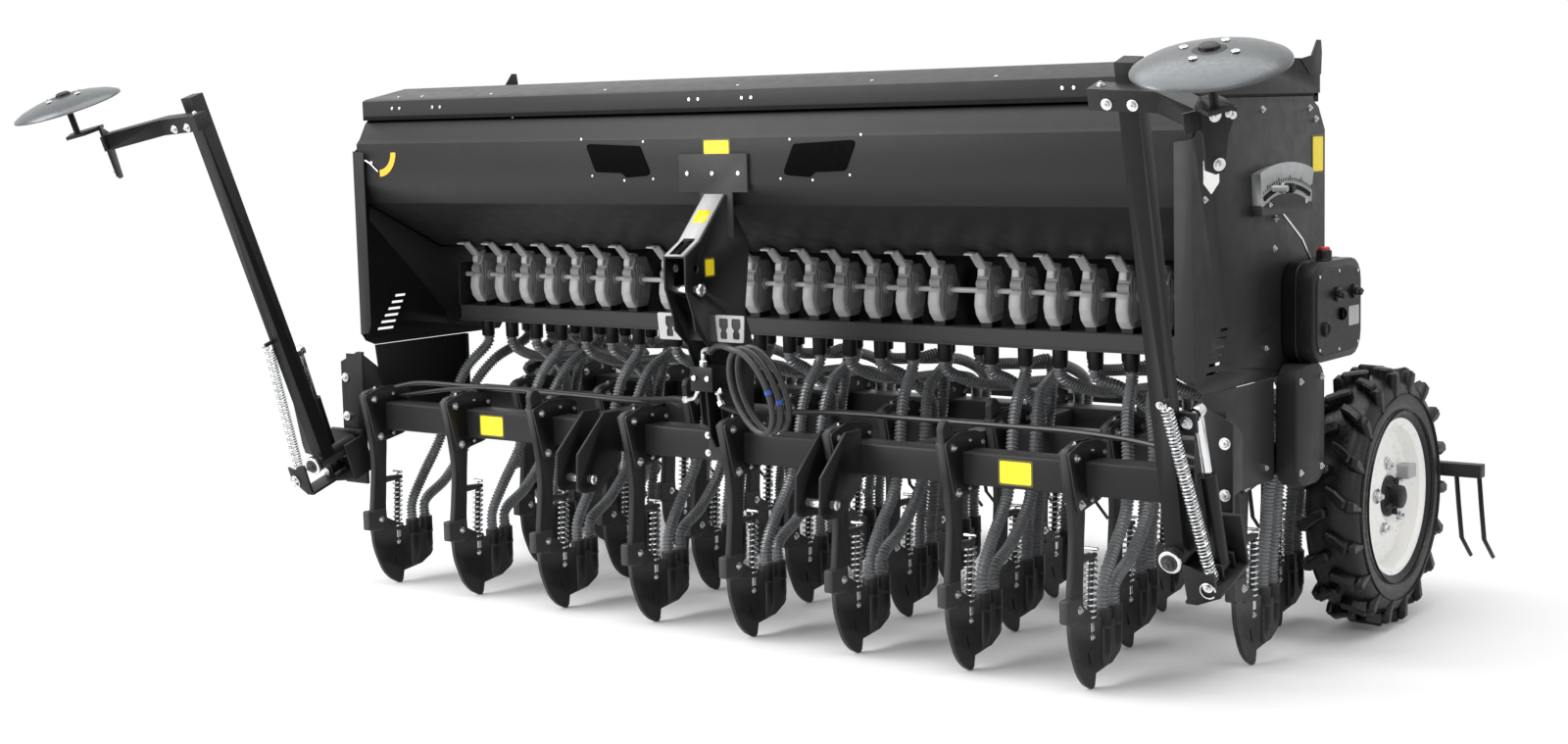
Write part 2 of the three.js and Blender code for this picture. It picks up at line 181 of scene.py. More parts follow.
class Bench:
    """Makes mesh objects with Blender's own operators; each ends up unturned at the origin."""

    @staticmethod
    def take(obj: bpy.types.Object) -> bpy.types.Object:
        """Makes obj the only selected object and the active one, and returns it."""
        bpy.ops.object.select_all(action="DESELECT")
        obj.select_set(True)
        bpy.context.view_layer.objects.active = obj
        return obj

    @classmethod
    def settle(cls, obj: bpy.types.Object) -> bpy.types.Object:
        """Moves obj's place into its mesh and returns it."""
        cls.take(obj)
        bpy.ops.object.transform_apply(location=True, rotation=True, scale=True)
        return obj

    @classmethod
    def modify(cls, obj: bpy.types.Object, kind: str, **settings: object) -> bpy.types.Object:
        """Adds a modifier of the kind with the settings, applies it and returns obj."""
        cls.take(obj)
        modifier = obj.modifiers.new(kind.lower(), kind)
        for key, value in settings.items():
            setattr(modifier, key, value)
        bpy.ops.object.modifier_apply(modifier=modifier.name)
        return obj

    @classmethod
    def bevelled(cls, obj: bpy.types.Object, width: float, segments: int = 1, angle: float = 35.0
                 ) -> bpy.types.Object:
        """Bevels every edge of obj sharper than angle degrees by width metres and returns obj."""
        if width > 0:
            cls.modify(obj, "BEVEL", width=width, segments=segments, limit_method="ANGLE",
                       angle_limit=math.radians(angle), use_clamp_overlap=True)
        return obj

    @classmethod
    def tidied(cls, obj: bpy.types.Object, angle: float = 35.0) -> bpy.types.Object:
        """Merges doubled points, turns the faces outwards, shades obj by angle and returns it."""
        cls.take(obj)
        bpy.ops.object.mode_set(mode="EDIT")
        bpy.ops.mesh.select_all(action="SELECT")
        bpy.ops.mesh.remove_doubles(threshold=1e-5)
        bpy.ops.mesh.normals_make_consistent(inside=False)
        bpy.ops.object.mode_set(mode="OBJECT")
        bpy.ops.object.shade_smooth_by_angle(angle=math.radians(angle))
        return obj

    @classmethod
    def block(cls, low: Point, high: Point, bevel: float = 1.5) -> bpy.types.Object:
        """A bevelled block.

        Args:
            low: lowest corner in machine millimetres.
            high: highest corner.
            bevel: width of its bevels in millimetres.

        Returns:
            The block.
        """
        a, b = spot(*low), spot(*high)
        bpy.ops.object.select_all(action="DESELECT")
        bpy.ops.mesh.primitive_cube_add(size=1, location=(a + b) / 2, scale=b - a)
        return cls.bevelled(cls.settle(bpy.context.object), bevel * MM)

    @classmethod
    def plate(cls, outline: Outline, low: float, high: float, plane: Plane, bevel: float = 1.0,
              holes: Iterable[Outline] = ()) -> bpy.types.Object:
        """A flat plate cut from an outline.

        Args:
            outline: corners in machine millimetres, in the plate's plane.
            low: where it starts across its plane.
            high: where it ends.
            plane: the plane of the outline.
            bevel: width of its bevels in millimetres.
            holes: outlines of the holes through it.

        Returns:
            The plate.
        """
        curve = bpy.data.curves.new("plate", "CURVE")
        curve.dimensions = "2D"
        curve.fill_mode = "BOTH"
        curve.extrude = (high - low) / 2 * MM
        for loop in (outline, *holes):
            spline = curve.splines.new("POLY")
            spline.points.add(len(loop) - 1)
            for point, (u, v) in zip(spline.points, loop):
                point.co = (u * MM, v * MM, 0, 1)
            spline.use_cyclic_u = True
        obj = bpy.data.objects.new("plate", curve)
        bpy.context.scene.collection.objects.link(obj)
        cls.take(obj)
        bpy.ops.object.convert(target="MESH")
        obj = bpy.context.object
        across = Vector((0, 0, 0))
        across["XYZ".index(plane.name)] = (low + high) / 2 * MM
        obj.data.transform(Matrix.Translation(across - Vector((0, ORIGIN_Y, 0)))
                           @ plane.value.to_4x4())
        cls.take(obj)
        bpy.ops.object.mode_set(mode="EDIT")
        bpy.ops.mesh.select_all(action="SELECT")
        bpy.ops.mesh.remove_doubles(threshold=1e-6)
        bpy.ops.mesh.dissolve_limited(angle_limit=math.radians(1))
        bpy.ops.mesh.normals_make_consistent(inside=False)
        bpy.ops.object.mode_set(mode="OBJECT")
        return cls.bevelled(obj, bevel * MM, angle=60.0)

    @classmethod
    def rod(cls, start: Point, end: Point, radius: float, sides: int = 16, bevel: float = 0.0
            ) -> bpy.types.Object:
        """A round bar.

        Args:
            start: centre of one end in machine millimetres.
            end: centre of the other end.
            radius: its radius.
            sides: sides of its section.
            bevel: width of its end bevels.

        Returns:
            The bar.
        """
        a, b = spot(*start), spot(*end)
        along = b - a
        bpy.ops.object.select_all(action="DESELECT")
        bpy.ops.mesh.primitive_cylinder_add(vertices=sides, radius=radius * MM, depth=along.length,
                                            location=(a + b) / 2,
                                            rotation=along.to_track_quat("Z", "Y").to_euler())
        obj = cls.settle(bpy.context.object)
        return cls.bevelled(obj, bevel * MM, angle=60.0)

    @classmethod
    def pipe(cls, points: Sequence[Vector], radius: float, rings: int = 2) -> bpy.types.Object:
        """A round bar or hose along points.

        Args:
            points: points of its middle line, in metres.
            radius: its radius in millimetres.
            rings: half the number of extra sides of its section.

        Returns:
            The bar.
        """
        curve = bpy.data.curves.new("pipe", "CURVE")
        curve.dimensions = "3D"
        curve.bevel_depth = radius * MM
        curve.bevel_resolution = rings
        curve.use_fill_caps = True
        spline = curve.splines.new("POLY")
        spline.points.add(len(points) - 1)
        for point, place in zip(spline.points, points):
            point.co = (*place, 1)
        obj = bpy.data.objects.new("pipe", curve)
        bpy.context.scene.collection.objects.link(obj)
        cls.take(obj)
        bpy.ops.object.convert(target="MESH")
        return cls.tidied(bpy.context.object)

    @classmethod
    def lathe(cls, profile: Outline, start: Vector, axis: Vector, steps: int = 48) -> bpy.types.Object:
        """A turned piece.

        Args:
            profile: closed or axis-to-axis outline as radius and height, in millimetres.
            start: the point on the axis at height 0, in metres.
            axis: direction of its axis.
            steps: sides of its section.

        Returns:
            The piece.
        """
        bpy.ops.object.select_all(action="DESELECT")
        bpy.ops.mesh.primitive_circle_add(vertices=len(profile), radius=1.0, fill_type="NOTHING")
        obj = bpy.context.object
        for vertex, (radius, height) in zip(obj.data.vertices, profile):
            vertex.co = (radius * MM, 0, height * MM)
        bpy.ops.object.mode_set(mode="EDIT")
        bpy.ops.mesh.select_all(action="SELECT")
        bpy.ops.mesh.spin(steps=steps, angle=2 * math.pi, center=(0, 0, 0), axis=(0, 0, 1))
        bpy.ops.object.mode_set(mode="OBJECT")
        obj.matrix_world = Matrix.Translation(start) @ axis.to_track_quat("Z", "Y").to_matrix().to_4x4()
        return cls.tidied(cls.settle(obj))

    @classmethod
    def loft(cls, sections: Sequence[Sequence[Vector]]) -> bpy.types.Object:
        """A bar whose section changes along it, drawn out section by section.

        Args:
            sections: rings of points in metres, each with as many points as the first.

        Returns:
            The bar, closed at both ends.
        """
        bpy.ops.object.select_all(action="DESELECT")
        bpy.ops.mesh.primitive_circle_add(vertices=len(sections[0]), radius=1.0, fill_type="NGON")
        obj = bpy.context.object
        for vertex, place in zip(obj.data.vertices, sections[0]):
            vertex.co = place
        obj.location = (0, 0, 0)
        bpy.ops.object.mode_set(mode="EDIT")
        bpy.ops.mesh.select_all(action="SELECT")
        for section in sections[1:]:
            bpy.ops.mesh.extrude_region_move()
            mesh = bmesh.from_edit_mesh(obj.data)
            ring = [v for v in mesh.verts if v.select]
            for vertex, place in zip(ring, section):
                vertex.co = place
            bmesh.update_edit_mesh(obj.data)
        bpy.ops.object.mode_set(mode="OBJECT")
        return cls.tidied(obj)

    @staticmethod
    def copy(obj: bpy.types.Object, change: Matrix) -> bpy.types.Object:
        """Copies obj with a mesh of its own, changed by the matrix, and returns the copy."""
        twin = obj.copy()
        twin.data = obj.data.copy()
        twin.data.transform(change)
        if change.determinant() < 0:
            twin.data.flip_normals()
        bpy.context.scene.collection.objects.link(twin)
        return twin

    @classmethod
    def mirrored(cls, parts: Iterable[bpy.types.Object]) -> list[bpy.types.Object]:
        """Copies the right side's parts to the left side and returns the copies."""
        return [cls.copy(part, Matrix.Diagonal((-1, 1, 1, 1))) for part in parts]

    @classmethod
    def joined(cls, name: str, parts: Sequence[bpy.types.Object]) -> bpy.types.Object:
        """Joins the parts into one object of that name and returns it."""
        bpy.ops.object.select_all(action="DESELECT")
        for part in parts:
            part.select_set(True)
        bpy.context.view_layer.objects.active = parts[0]
        if len(parts) > 1:
            bpy.ops.object.join()
        obj = bpy.context.view_layer.objects.active
        obj.name = name
        obj.data.name = name
        return obj

    @classmethod
    def refined(cls, node: str, bevel: float) -> bpy.types.Object:
        """Copies a CAD node, merges its loose triangles and softens its edges.

        Args:
            node: the CAD node.
            bevel: width of the softened edges in millimetres.

        Returns:
            The copy, which stands for the node.
        """
        obj = cls.copy(frame["nodes"][node], Matrix.Identity(4))
        obj.parent = None
        obj.name = f"{node}_skin"
        obj.data.materials.clear()
        cls.take(obj)
        bpy.ops.object.mode_set(mode="EDIT")
        bpy.ops.mesh.select_all(action="SELECT")
        bpy.ops.mesh.remove_doubles(threshold=2e-5)
        bpy.ops.mesh.dissolve_limited(angle_limit=math.radians(1))
        bpy.ops.object.mode_set(mode="OBJECT")
        cls.bevelled(obj, bevel * MM, segments=2, angle=30.0)
        bpy.ops.object.shade_smooth_by_angle(angle=math.radians(35))
        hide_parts(node)
        return obj


# ---- finishes ---------------------------------------------------------------------------------------


@dataclass(frozen=True)
class Finish:
    """One surface finish, built from shader nodes that read Object coordinates."""

    name: str
    colour: tuple[float, float, float]
    roughness: float
    metallic: float = 0.0
    specular: float = 0.5
    mottle: float = 0.15
    patch: float = 9.0
    rough_spread: float = 0.08
    grain: float = 700.0
    bump: float = 0.05
    # edge: how far convex edges are lightened, part edge wear and part painted highlight
    edge: float = 0.0
    stretch: tuple[float, float, float] = (1.0, 1.0, 1.0)
    # how far faces that look up are lightened: painted top light
    top_light: float = 0.0

    def made(self) -> bpy.types.Material:
        """Builds the material, once, and returns it."""
        known = bpy.data.materials.get(self.name)
        if known:
            return known
        material = bpy.data.materials.new(self.name)
        material.use_nodes = True
        nodes = material.node_tree.nodes
        links = material.node_tree.links
        shader = nodes["Principled BSDF"]
        shader.inputs["Metallic"].default_value = self.metallic
        shader.inputs["Specular IOR Level"].default_value = self.specular
        place = nodes.new("ShaderNodeTexCoord")
        mapping = nodes.new("ShaderNodeMapping")
        mapping.inputs["Scale"].default_value = self.stretch
        links.new(place.outputs["Object"], mapping.inputs["Vector"])
        clouds = self._noise(material, mapping, self.patch, 4.0)
        shade = nodes.new("ShaderNodeMapRange")
        shade.inputs["From Min"].default_value = 0.3
        shade.inputs["From Max"].default_value = 0.7
        shade.inputs["To Min"].default_value = 1.0 - self.mottle
        shade.inputs["To Max"].default_value = 1.0 + self.mottle
        links.new(clouds.outputs["Fac"], shade.inputs["Value"])
        tint = nodes.new("ShaderNodeVectorMath")
        tint.operation = "SCALE"
        tint.inputs[0].default_value = self.colour
        links.new(shade.outputs["Result"], tint.inputs["Scale"])
        colour = tint.outputs["Vector"]
        if self.edge > 0:
            colour = self._edge_worn_and_lit(material, colour)
        if self.top_light > 0:
            colour = self._top_lit(material, colour)
        links.new(colour, shader.inputs["Base Color"])
        speckle = self._noise(material, mapping, self.patch * 6, 3.0)
        rough = nodes.new("ShaderNodeMapRange")
        rough.inputs["From Min"].default_value = 0.3
        rough.inputs["From Max"].default_value = 0.7
        rough.inputs["To Min"].default_value = self.roughness - self.rough_spread
        rough.inputs["To Max"].default_value = self.roughness + self.rough_spread
        links.new(speckle.outputs["Fac"], rough.inputs["Value"])
        links.new(rough.outputs["Result"], shader.inputs["Roughness"])
        fine = self._noise(material, mapping, self.grain, 2.0)
        bump = nodes.new("ShaderNodeBump")
        bump.inputs["Strength"].default_value = self.bump
        bump.inputs["Distance"].default_value = 0.001
        links.new(fine.outputs["Fac"], bump.inputs["Height"])
        links.new(bump.outputs["Normal"], shader.inputs["Normal"])
        return material

    @staticmethod
    def _noise(material: bpy.types.Material, mapping: bpy.types.Node, scale: float, detail: float
               ) -> bpy.types.Node:
        """Adds a noise texture of the scale and detail, placed by mapping, and returns it."""
        noise = material.node_tree.nodes.new("ShaderNodeTexNoise")
        noise.inputs["Scale"].default_value = scale
        noise.inputs["Detail"].default_value = detail
        material.node_tree.links.new(mapping.outputs["Vector"], noise.inputs["Vector"])
        return noise

    def _edge_worn_and_lit(self, material: bpy.types.Material, colour: bpy.types.NodeSocket) -> bpy.types.NodeSocket:
        """Lightens the colour on convex edges, for edge wear and a painted edge highlight, and returns the
        new socket.
        """
        nodes = material.node_tree.nodes
        links = material.node_tree.links
        geometry = nodes.new("ShaderNodeNewGeometry")
        ramp = nodes.new("ShaderNodeMapRange")
        ramp.inputs["From Min"].default_value = 0.52
        ramp.inputs["From Max"].default_value = 0.62
        ramp.inputs["To Max"].default_value = self.edge
        links.new(geometry.outputs["Pointiness"], ramp.inputs["Value"])
        mix = nodes.new("ShaderNodeMix")
        mix.data_type = "RGBA"
        # the lighter grey on convex edges: edge wear and a painted edge highlight
        mix.inputs["B"].default_value = (0.12, 0.12, 0.125, 1)
        links.new(ramp.outputs["Result"], mix.inputs["Factor"])
        links.new(colour, mix.inputs["A"])
        return mix.outputs["Result"]

    def _top_lit(self, material: bpy.types.Material, colour: bpy.types.NodeSocket) -> bpy.types.NodeSocket:
        """Lightens the colour on faces that look up, a painted top light, and returns the new socket."""
        nodes = material.node_tree.nodes
        links = material.node_tree.links
        geometry = nodes.new("ShaderNodeNewGeometry")
        parts = nodes.new("ShaderNodeSeparateXYZ")
        links.new(geometry.outputs["Normal"], parts.inputs["Vector"])
        ramp = nodes.new("ShaderNodeMapRange")
        ramp.inputs["From Min"].default_value = 0.2
        ramp.inputs["From Max"].default_value = 1.0
        ramp.inputs["To Max"].default_value = self.top_light
        links.new(parts.outputs["Z"], ramp.inputs["Value"])
        mix = nodes.new("ShaderNodeMix")
        mix.data_type = "RGBA"
        # the grey on faces that look up: painted top light
        mix.inputs["B"].default_value = (0.2, 0.2, 0.2, 1)
        links.new(ramp.outputs["Result"], mix.inputs["Factor"])
        links.new(colour, mix.inputs["A"])
        return mix.outputs["Result"]


class Look(Enum):
    """Every finish on the machine."""

    # Convex edges of these finishes are lightened, part wear and part painted highlight; faces that look up
    # are lightened as painted top light.
    PAINT = Finish("black_powder_coat", (0.005, 0.005, 0.0053), 0.4, specular=0.16, mottle=0.12, patch=4.0,
                   rough_spread=0.05, grain=900.0, bump=0.06, edge=0.35, top_light=0.10)
    # Near-black with little sheen: painted shade on the sheet behind the meters; the lid seal is dressed in
    # it too.
    SHADE = Finish("shade_and_seal_black", (0.003, 0.003, 0.0033), 0.5, specular=0.08, mottle=0.1, bump=0.04)
    CAST = Finish("black_forged_steel", (0.0055, 0.0055, 0.0058), 0.42, specular=0.2, mottle=0.25, patch=14.0,
                  rough_spread=0.08, grain=420.0, bump=0.14, edge=0.5, top_light=0.10)
    GREY_PLATE = Finish("grey_primed_plate", (0.36, 0.36, 0.365), 0.45, specular=0.4, mottle=0.06, patch=12.0,
                        grain=600.0, bump=0.05)
    METER = Finish("grey_moulded_plastic", (0.19, 0.192, 0.195), 0.5, specular=0.4, mottle=0.1, patch=20.0,
                   grain=1200.0, bump=0.05, top_light=0.2)
    METER_LIGHT = Finish("pale_grey_moulded_plastic", (0.38, 0.38, 0.384), 0.45, specular=0.4, mottle=0.06,
                         patch=25.0, grain=1200.0, bump=0.04)
    BLACK_PLASTIC = Finish("black_moulded_plastic", (0.006, 0.006, 0.0063), 0.36, specular=0.22, mottle=0.08,
                           patch=16.0, grain=1500.0, bump=0.10)
    RIBBED = Finish("ribbed_hose_plastic", (0.125, 0.129, 0.135), 0.32, specular=0.9, mottle=0.2, patch=15.0,
                    rough_spread=0.06, grain=500.0, bump=0.05)
    RUBBER = Finish("rubber_hose", (0.004, 0.004, 0.0043), 0.22, specular=0.4, mottle=0.2, patch=30.0,
                    grain=900.0, bump=0.08)
    TYRE = Finish("tyre_rubber", (0.004, 0.004, 0.0042), 0.34, specular=0.3, mottle=0.3, patch=18.0,
                  rough_spread=0.1, grain=350.0, bump=0.12)
    ZINC = Finish("bright_zinc", (0.62, 0.63, 0.64), 0.24, metallic=1.0, mottle=0.12, patch=60.0,
                  rough_spread=0.08, grain=900.0, bump=0.05)
    SPRING = Finish("zinc_spring_wire", (0.60, 0.61, 0.62), 0.22, metallic=1.0, mottle=0.1, patch=80.0,
                    rough_spread=0.06, grain=700.0, bump=0.04)
    CHROME = Finish("hard_chrome", (0.66, 0.67, 0.68), 0.12, metallic=1.0, mottle=0.04, patch=20.0,
                    rough_spread=0.03, grain=800.0, bump=0.01)
    DISC = Finish("silver_disc_paint", (0.085, 0.092, 0.096), 0.3, metallic=0.5, specular=0.35, mottle=0.05,
                  patch=14.0, rough_spread=0.08, grain=500.0, bump=0.04)
    RIM = Finish("white_enamel", (0.86, 0.855, 0.83), 0.3, specular=0.4, mottle=0.015, patch=8.0,
                 rough_spread=0.05, grain=400.0, bump=0.03)
    LABEL = Finish("yellow_label_film", (0.80, 0.62, 0.012), 0.35, specular=0.45, mottle=0.05, patch=30.0,
                   grain=900.0, bump=0.02)
    LABEL_EDGE = Finish("dark_label_print", (0.10, 0.08, 0.01), 0.4, specular=0.4, mottle=0.05, bump=0.01)
    SCALE = Finish("anodised_scale", (0.34, 0.345, 0.35), 0.42, metallic=0.55, mottle=0.08, patch=40.0,
                   grain=800.0, bump=0.03)
    # Glossy near-black: smoked acrylic on the windows and sight glass, the print of the scale's marks, and
    # painted shade on the tower's cut-out and the rate scale's slot.
    GLASS = Finish("smoked_acrylic_and_painted_shade", (0.001, 0.001, 0.001), 0.15, specular=0.03, mottle=0.05,
                   rough_spread=0.02, grain=100.0, bump=0.01)
    RED = Finish("red_cap_plastic", (0.45, 0.02, 0.015), 0.4, mottle=0.06, bump=0.04)
    BLUE = Finish("blue_tie_plastic", (0.01, 0.06, 0.3), 0.35, mottle=0.06, bump=0.04)
    LIME = Finish("lime_level_plastic", (0.45, 0.60, 0.03), 0.3, mottle=0.06, bump=0.02)
    GAUGE = Finish("amber_gauge_film", (0.85, 0.42, 0.03), 0.35, mottle=0.12, patch=30.0, bump=0.02)


class Fitter:
    """Puts finished pieces on the machine: name, finish, body and the CAD nodes they stand for."""

    @staticmethod
    def dress(obj: bpy.types.Object, look: Look) -> bpy.types.Object:
        """Gives the whole of obj one finish and returns obj."""
        obj.data.materials.clear()
        obj.data.materials.append(look.value.made())
        return obj

    @classmethod
    def fit(cls, name: str, parts: Sequence[bpy.types.Object], body: str, slot: str,
            replaces: Iterable[str] = (), look: Look | None = None) -> bpy.types.Object:
        """Joins parts into one piece and hands it to its body.

        Args:
            name: the piece's name.
            parts: its meshes, dressed already unless look is given.
            body: the CAD body it rides on.
            slot: the record's material slot; not used.
            replaces: CAD nodes that it stands for.
            look: one finish for all of it.

        Returns:
            The finished piece.
        """
        if look:
            for part in parts:
                cls.dress(part, look)
        piece = Bench.joined(name, parts)
        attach(piece, body)
        for node in replaces:
            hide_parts(node)
        LOG.info("%s rides on %s with %d faces", name, body, len(piece.data.polygons))
        return piece


# ---- studio -----------------------------------------------------------------------------------------


@dataclass(frozen=True)
class Studio:
    """Camera, floor and soft light."""

    eye: tuple[float, float, float] = (3.9704, -5.3351, 1.5323)
    heading: float = 36.97
    pitch: float = 6.283
    roll: float = 1.448
    lens: float = 50.45
    rise: float = -0.0109
    ambient: float = 0.62
    overhead: float = 330.0
    key: float = 430.0
    crown: float = 260.0
    fill: float = 40.0

    def build(self) -> None:
        """Makes the camera, the world, the lamps and the floor."""
        self._camera()
        self._world()
        self._lamp("overhead", (0.0, -0.6, 5.2), (0, 0, 0.4), (7.0, 5.0), self.overhead)
        self._lamp("key", (-3.8, -6.8, 3.4), (0, 0, 0.9), (5.5, 4.0), self.key)
        self._lamp("crown", (-5.0, -4.2, 6.2), (0, 0, 1.3), (3.0, 3.0), self.crown)
        self._lamp("fill", (7.0, -0.5, 2.8), (0.5, 0, 0.8), (3.0, 2.5), self.fill)
        self._floor()
        view = bpy.context.scene.view_settings
        view.view_transform = "Standard"

    def _camera(self) -> None:
        """Places the camera."""
        heading, pitch, roll = (math.radians(a) for a in (self.heading, self.pitch, self.roll))
        ahead = Vector((-math.sin(heading) * math.cos(pitch), math.cos(heading) * math.cos(pitch),
                        -math.sin(pitch)))
        level = Vector((math.cos(heading), math.sin(heading), 0))
        plumb = ahead.cross(level)
        right = level * math.cos(roll) + plumb * math.sin(roll)
        down = plumb * math.cos(roll) - level * math.sin(roll)
        data = bpy.data.cameras.new("camera")
        data.lens = self.lens
        data.sensor_width = 36.0
        data.shift_y = self.rise
        data.clip_end = 100.0
        camera = bpy.data.objects.new("camera", data)
        axes = Matrix((right, -down, -ahead)).transposed().to_4x4()
        camera.matrix_world = Matrix.Translation(self.eye) @ axes
        bpy.context.scene.collection.objects.link(camera)
        bpy.context.scene.camera = camera

    @staticmethod
    def _seen_directly(tree: bpy.types.NodeTree) -> bpy.types.NodeSocket:
        """Adds nodes that are 1 for rays that show the background and returns their output."""
        path = tree.nodes.new("ShaderNodeLightPath")
        first = tree.nodes.new("ShaderNodeMath")
        first.operation = "MAXIMUM"
        tree.links.new(path.outputs["Is Camera Ray"], first.inputs[0])
        tree.links.new(path.outputs["Is Glossy Ray"], first.inputs[1])
        second = tree.nodes.new("ShaderNodeMath")
        second.operation = "MAXIMUM"
        tree.links.new(first.outputs["Value"], second.inputs[0])
        tree.links.new(path.outputs["Is Transmission Ray"], second.inputs[1])
        return second.outputs["Value"]

    def _world(self) -> None:
        """Lights the scene evenly and shows white behind it."""
        world = bpy.data.worlds.new("studio")
        world.use_nodes = True
        bpy.context.scene.world = world
        tree = world.node_tree
        soft = tree.nodes["Background"]
        soft.inputs["Color"].default_value = (1, 1, 1, 1)
        soft.inputs["Strength"].default_value = self.ambient
        white = tree.nodes.new("ShaderNodeBackground")
        white.inputs["Color"].default_value = (1, 1, 1, 1)
        white.inputs["Strength"].default_value = 1.0
        mix = tree.nodes.new("ShaderNodeMixShader")
        tree.links.new(self._seen_directly(tree), mix.inputs["Fac"])
        tree.links.new(soft.outputs["Background"], mix.inputs[1])
        tree.links.new(white.outputs["Background"], mix.inputs[2])
        tree.links.new(mix.outputs["Shader"], tree.nodes["World Output"].inputs["Surface"])

    @staticmethod
    def _lamp(name: str, place: Point, target: Point, size: tuple[float, float], power: float) -> None:
        """Adds a soft rectangular lamp of the size in metres and the power in watts, aimed at target."""
        data = bpy.data.lights.new(name, "AREA")
        data.shape = "RECTANGLE"
        data.size, data.size_y = size
        data.energy = power
        lamp = bpy.data.objects.new(name, data)
        lamp.location = place
        lamp.rotation_euler = (Vector(target) - Vector(place)).to_track_quat("-Z", "Y").to_euler()
        bpy.context.scene.collection.objects.link(lamp)

    @staticmethod
    def _floor() -> None:
        """Lays a pale floor that fades to the white background away from the machine."""
        bpy.ops.object.select_all(action="DESELECT")
        bpy.ops.mesh.primitive_plane_add(size=60)
        floor = bpy.context.object
        floor.name = "studio_floor"
        material = bpy.data.materials.new("studio_floor")
        material.use_nodes = True
        tree = material.node_tree
        shader = tree.nodes["Principled BSDF"]
        shader.inputs["Base Color"].default_value = (0.86, 0.86, 0.86, 1)
        shader.inputs["Roughness"].default_value = 0.7
        shader.inputs["Specular IOR Level"].default_value = 0.1
        place = tree.nodes.new("ShaderNodeTexCoord")
        mapping = tree.nodes.new("ShaderNodeMapping")
        mapping.inputs["Scale"].default_value = (0.28, 0.42, 0.0)
        length = tree.nodes.new("ShaderNodeVectorMath")
        length.operation = "LENGTH"
        fade = tree.nodes.new("ShaderNodeMapRange")
        fade.interpolation_type = "SMOOTHSTEP"
        fade.inputs["From Min"].default_value = 0.45
        fade.inputs["From Max"].default_value = 1.15
        glow = tree.nodes.new("ShaderNodeEmission")
        glow.inputs["Strength"].default_value = 1.0
        path = tree.nodes.new("ShaderNodeLightPath")
        shown = tree.nodes.new("ShaderNodeMath")
        shown.operation = "MULTIPLY"
        mix = tree.nodes.new("ShaderNodeMixShader")
        tree.links.new(place.outputs["Object"], mapping.inputs["Vector"])
        tree.links.new(mapping.outputs["Vector"], length.inputs[0])
        tree.links.new(length.outputs["Value"], fade.inputs["Value"])
        tree.links.new(fade.outputs["Result"], shown.inputs[0])
        tree.links.new(path.outputs["Is Camera Ray"], shown.inputs[1])
        tree.links.new(shown.outputs["Value"], mix.inputs["Fac"])
        tree.links.new(shader.outputs["BSDF"], mix.inputs[1])
        tree.links.new(glow.outputs["Emission"], mix.inputs[2])
        tree.links.new(mix.outputs["Shader"], tree.nodes["Material Output"].inputs["Surface"])
        floor.data.materials.append(material)


# ---- small hardware ---------------------------------------------------------------------------------


